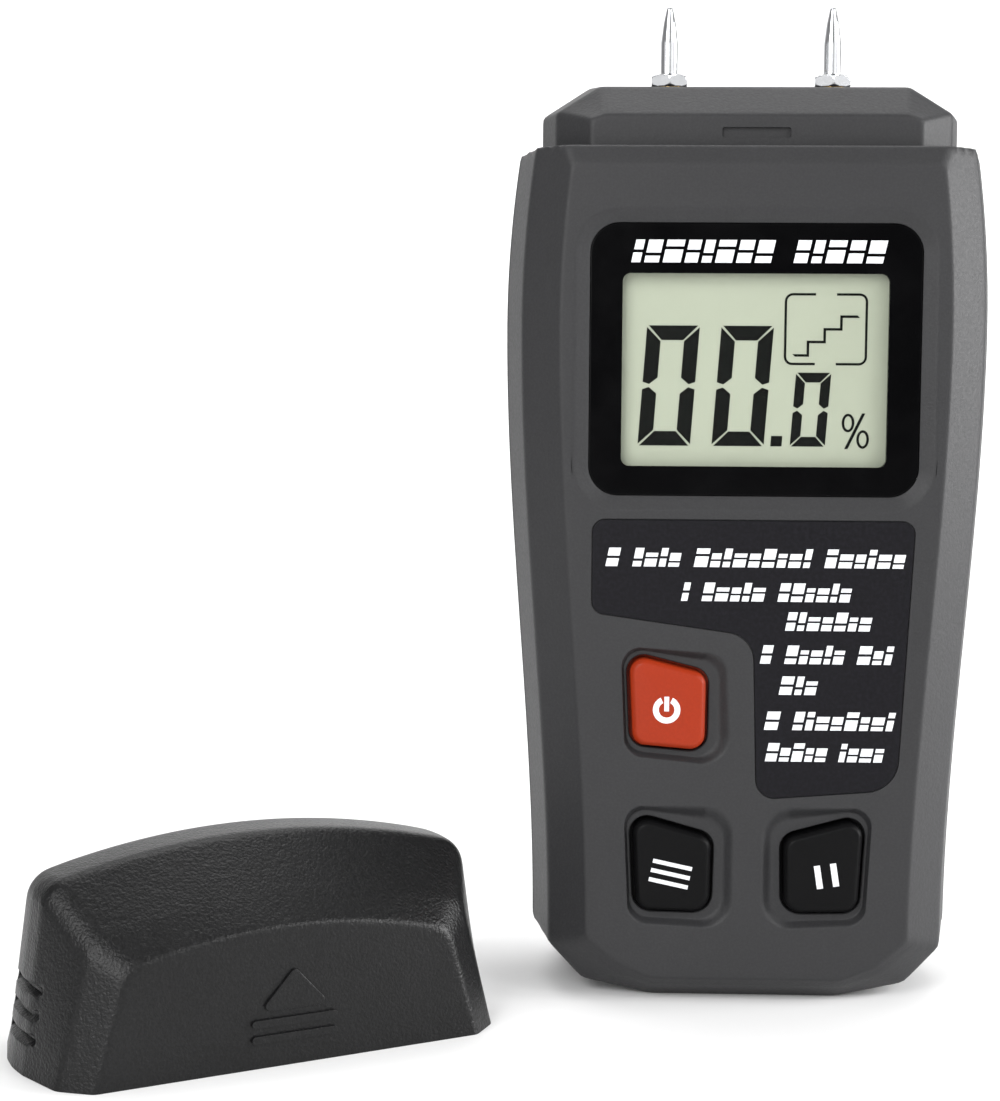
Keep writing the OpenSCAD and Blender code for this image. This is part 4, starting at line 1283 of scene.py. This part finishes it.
SIGNS = [
    ("power_sign", [[arc_outline(-11.2, 40.6, 1.05, 1.85, 0.46)], [box_line(-11.52, 40.4, -10.88, 42.4)]]),
    ("mode_sign", tilted_bars([(-10.4, 19.4), (-10.4, 18.1), (-10.4, 16.8)], 2.7, 0.28, -12)),
    ("hold_sign", tilted_bars([(9.6, 18.1), (11.8, 18.1)], 0.42, 1.6, 9)),
]
for (name, sign), (_, _, body, plastic) in zip(SIGNS, KEYS):
    place(plates(name, sign, KEY_FRONT + 0.01), body, materials["white_print"])

# %% [markdown]
# ## Pins
# A pin is turned from a bar: a hexagon collar to grip it, a plain needle and a ground point. Its
# radius is a function of height and of the angle round it. On the collar the radius is the lesser
# of the hexagon's and of a cone's, which gives the curved chamfer lines that a real nut has.

# %% Turned pins
FLATS, COLLAR_H, NEEDLE_R, NEEDLE_LEN, POINT_H, SHANK_R = 4.9, 1.7, 1.2, 9.4, 5.0, 1.5
COLLAR_R, LOWER_R, LOWER_H, UPPER_R, UPPER_H, PIN_SIDES = 2.87, 2.42, 0.28, 2.22, 0.4, 96


def hexagon(turn, flats):
    """Radius at an angle of a hexagon with a flat on each side and an edge in front."""
    sixth = np.pi / 3
    return flats / 2 / np.cos(np.mod(turn + sixth / 2, sixth) - sixth / 2)


def pin(name, x):
    """Rings of r(height, angle): shank, hexagon with chamfers, cylinder and a curved, blunt point."""
    turn = np.linspace(0, 2 * np.pi, PIN_SIDES, endpoint=False)
    shank = [(SHANK_R, -HEAD_H), (SHANK_R, 0.0)]
    lower = np.linspace([LOWER_R, 0.0], [COLLAR_R, LOWER_H], 5)
    flat = np.linspace([COLLAR_R, LOWER_H], [COLLAR_R, COLLAR_H - UPPER_H], 4)[1:]
    upper = np.linspace([COLLAR_R, COLLAR_H - UPPER_H], [UPPER_R, COLLAR_H], 6)[1:]
    top = COLLAR_H + NEEDLE_LEN
    needle = soften([
        (1.75, COLLAR_H), (NEEDLE_R, COLLAR_H + 0.02), (NEEDLE_R, top - POINT_H),
        (0.85, top - 0.45 * POINT_H), (0.42, top - 0.25), (0.12, top),
    ], 120, 0.12)
    table = np.vstack([shank, lower, flat, upper, needle])
    radius, z = table[:, :1], table[:, 1:]
    radius = np.where(radius > SHANK_R + 0.5, np.minimum(radius, hexagon(turn, FLATS)), radius)
    height = np.broadcast_to(HEAD_TOP + z, radius.shape)
    rings = np.stack([x + radius * np.cos(turn), radius * np.sin(turn), height], axis=-1)
    return solid(rings, name)


for name, x, node in (("left_needle_pin", -PIN_X, "left_pin"), ("right_needle_pin", PIN_X, "right_pin")):
    place(pin(name, x), "meter", materials["chrome_pin"], [node])

# %% [markdown]
# ## Screws
# Four pan-head screws hold the case halves together from the back, each at the bottom of a sunk
# hole. The head is a dome turned about the screw's own line, and the cross recess is cut out of it.

# %% Case screws
THREAD_R, THREAD_WAVE, PITCH, CROSS_HALF, CROSS_W = 1.02, 0.08, 0.8, 1.45, 0.33
SEAT = BACK - SINK_D


def screw(x, z):
    """Turned screw: r = THREAD_R + THREAD_WAVE sin(2 pi y / PITCH), then rim and dome, less a cross."""
    turn = np.linspace(0, 2 * np.pi, 40, endpoint=False)
    along = np.linspace(FRONT + FACE_WALL + 4, SEAT, 120)
    thread = np.column_stack([THREAD_R + THREAD_WAVE * np.sin(2 * np.pi * along / PITCH), along])
    head = soften([(2.5, SEAT), (2.5, SEAT + 0.9), (1.6, SEAT + 1.7), (0.25, SEAT + 1.8)], 16, 0.14)
    table = np.vstack([thread, head])
    radius, depth = table[:, :1], np.broadcast_to(table[:, 1:], (len(table), len(turn)))
    rings = np.stack([x + radius * np.cos(turn), depth, z + radius * np.sin(turn)], axis=-1)
    arms = [
        brick("arm", (x - half_w, SEAT + 0.6, z - half_h), (x + half_w, SEAT + 3, z + half_h))
        for half_w, half_h in ((CROSS_HALF, CROSS_W), (CROSS_W, CROSS_HALF))
    ]
    return combine(solid(rings, "case_screw"), "DIFFERENCE", *arms)


for x, z in SCREW_SPOTS:
    place(screw(x, z), "meter", materials["screw_steel"], ["case_screws"])

# %% [markdown]
# ## Battery and foam
# Sliding the door down shows a block battery on end, with its snap on top and a foam pad that
# presses it against the floor of its bay. The battery is a steel can in a printed jacket, rolled
# over at both ends, so its profile is a wall with a small roll at its top and foot.

# %% Battery
def block_rings(low, high, corner, table):
    """Rings round Z of a box between two corners: each row pulls the outline in and sets its height."""
    (x0, y0), (x1, y1) = low[:2], high[:2]
    outline = box_corners(x0, y0, x1, y1, corner)
    rings = []
    for pull, z in table:
        ring = rounded(grown(outline, -pull))
        rings.append(np.column_stack([ring, np.full(len(ring), z)]))
    return rings


BATTERY_CORNER, SNAP_CORNER = 2.6, 1.5
low, high = box_mm("battery")
rolled_end = soften([(1.6, 0.5), (0.9, 0.5), (0.9, 0.0), (0.1, 0.0), (0.0, 1.6), (0.0, 4.0)], 40, 0.12)
battery_table = np.vstack([rolled_end + [0, low[2]], rolled_end[::-1] * [1, -1] + [0, high[2]]])
battery = solid(block_rings(low, high, BATTERY_CORNER, battery_table), "block_battery")
even_shading(battery)
place(battery, "meter", materials["battery_jacket"], ["battery"])

low, high = box_mm("battery_snap")
snap_table = soften([(0.5, low[2]), (0.0, low[2]), (0.0, high[2]), (1.0, high[2])], 30, 0.2)
snap = solid(block_rings(low, high, SNAP_CORNER, np.maximum(snap_table, 0)), "battery_clip")
even_shading(snap)
place(snap, "meter", materials["black_key"], ["battery_snap"])


# %% [markdown]
# The pad is soft, so it isn't a plain box: both faces bulge between the edges, which a smooth formula
# of the place across and along the pad gives without any simulation.

# %% Foam pad
def foam_pad(name, node, crown=0.25):
    """Pad over a grid of u and v: each face stands out from its edge by crown (1 - u^4)(1 - v^4)."""
    low, high = box_mm(node)
    middle, half = (low + high) / 2, (high - low) / 2
    u, v = np.meshgrid(np.linspace(-1, 1, 60), np.linspace(-1, 1, 80))
    sunk = crown * (1 - (1 - u ** 4) * (1 - v ** 4))
    near, far = [
        np.stack([middle[0] + u * half[0], y, middle[2] + v * half[2]], axis=-1)
        for y in (low[1] + sunk, high[1] - sunk)
    ]
    skin = Skin().grid(near, closed=False).grid(far, closed=False).grid([rim_of(near), rim_of(far)])
    return skin.build(name, 60)


pad = foam_pad("foam_pad", "battery_pad")
place(pad, "meter", materials["foam"], ["battery_pad"])

# %% [markdown]
# ## Floor, light and camera
# The pieces stand on a pale sheet that curves up behind them, as on a product table.

# %% Sheet of paper
SHEET_REACH, BEND_START, BEND_R, SHEET_TOP = 1600.0, 420.0, 260.0, 1100.0


def paper_tone(point):
    """Matt white paper, a little uneven."""
    return {"Base Color": point.noise(60, 3).mix((0.84, 0.84, 0.84), (0.88, 0.88, 0.88)),
            "Roughness": point.noise(8, 3) * 0.1 + 0.7}


def sheet_of_paper(sunk=0.02):
    """A profile of floor, quarter circle and wall carried along X, just under the pieces."""
    bend = np.linspace(0, np.pi / 2, 24)
    curve = np.column_stack([BEND_START + BEND_R * np.sin(bend), BEND_R - BEND_R * np.cos(bend)])
    profile = np.vstack([(-SHEET_REACH, 0), curve, (BEND_START + BEND_R, SHEET_TOP)]) - [0, sunk]
    across, along = np.meshgrid(np.linspace(-SHEET_REACH, SHEET_REACH, 12), np.arange(len(profile)))
    rows = np.stack([across, profile[along, 0], profile[along, 1]], axis=-1)
    return Skin().grid(rows, closed=False).build("paper", 180)


paper = sheet_of_paper()
paper.data.materials.append(finish("paper", paper_tone))
print("the sheet is", 2 * SHEET_REACH, "mm wide")

# %% [markdown]
# A grazing light from the right makes the right-hand bevel the brightest strip of the case, and a
# large one from the front left lights the face. Weaker ones pick out the cap's edges, its front and
# the tops of the pieces. Chrome shows only what it mirrors, so the pins have three faint cards of
# their own. The one called wall brightens the background, and an even pale world fills the shadows.

# %% Lights
LIGHTS = [
    ("key", (600, -35, 150), (20, 0, 70), (260, 420), 4.8),
    ("front", (-330, -560, 400), (-10, -10, 60), (420, 420), 3.4),
    ("front_right", (380, -560, 330), (0, -10, 60), (420, 520), 0.8),
    ("edge", (420, -330, 430), (-60, -30, 15), (200, 160), 1.1),
    ("strip", (-205, -600, 125), (-80, -40, 15), (160, 160), 0.45),
    ("top", (-40, 120, 620), (-20, 0, 40), (500, 320), 1.1),
    ("wall", (0, 240, 700), (0, 640, 250), (900, 300), 3.0),
    ("pin_card", (-25, -560, 225), (0, 0, 130), (260, 90), 0.07),
    ("left_card", (-520, -300, 215), (0, 0, 130), (260, 200), 0.12),
    ("right_card", (520, -300, 215), (0, 0, 130), (260, 200), 0.12),
]
WORLD_STRENGTH = 0.32


def soft_light(name, place_mm, target_mm, size_mm, watts):
    """White rectangular light at a place, aimed at a target."""
    lamp = bpy.data.lights.new(name, "AREA")
    lamp.shape = "RECTANGLE"
    lamp.size, lamp.size_y = size_mm[0] * MM, size_mm[1] * MM
    lamp.energy = watts
    light = bpy.data.objects.new(name, lamp)
    light.location = Vector(place_mm) * MM
    light.rotation_euler = (Vector(target_mm) - Vector(place_mm)).to_track_quat("-Z", "Y").to_euler()
    bpy.context.scene.collection.objects.link(light)


for row in LIGHTS:
    soft_light(*row)
world = bpy.data.worlds.new("studio")
world.use_nodes = True
background = world.node_tree.nodes["Background"]
background.inputs["Color"].default_value = (1, 1, 1, 1)
background.inputs["Strength"].default_value = WORLD_STRENGTH
bpy.context.scene.world = world
bpy.context.scene.view_settings.view_transform = "Standard"
print(len(LIGHTS), "lights of", round(sum(row[-1] for row in LIGHTS), 2), "W in all")

# %% [markdown]
# The camera stands about 300 mm in front of the meter at two thirds of its height and looks a little
# down, so that the tops of the head and of the cap just show.

# %% Camera
CAMERA = Vector((-25.0, -298.1, 86.9))
TILT, ROLL, YAW, LENS = 5.05, -0.36, 1.82, 69.0
camera = bpy.data.objects.new("camera", bpy.data.cameras.new("camera"))
camera.data.lens = LENS
camera.data.clip_start, camera.data.clip_end = 0.01, 10.0
camera.location = CAMERA * MM
camera.rotation_euler = (math.radians(90 - TILT), math.radians(ROLL), math.radians(YAW))
bpy.context.scene.collection.objects.link(camera)
bpy.context.scene.camera = camera
print("camera at", tuple(CAMERA), "mm with a", LENS, "mm lens")
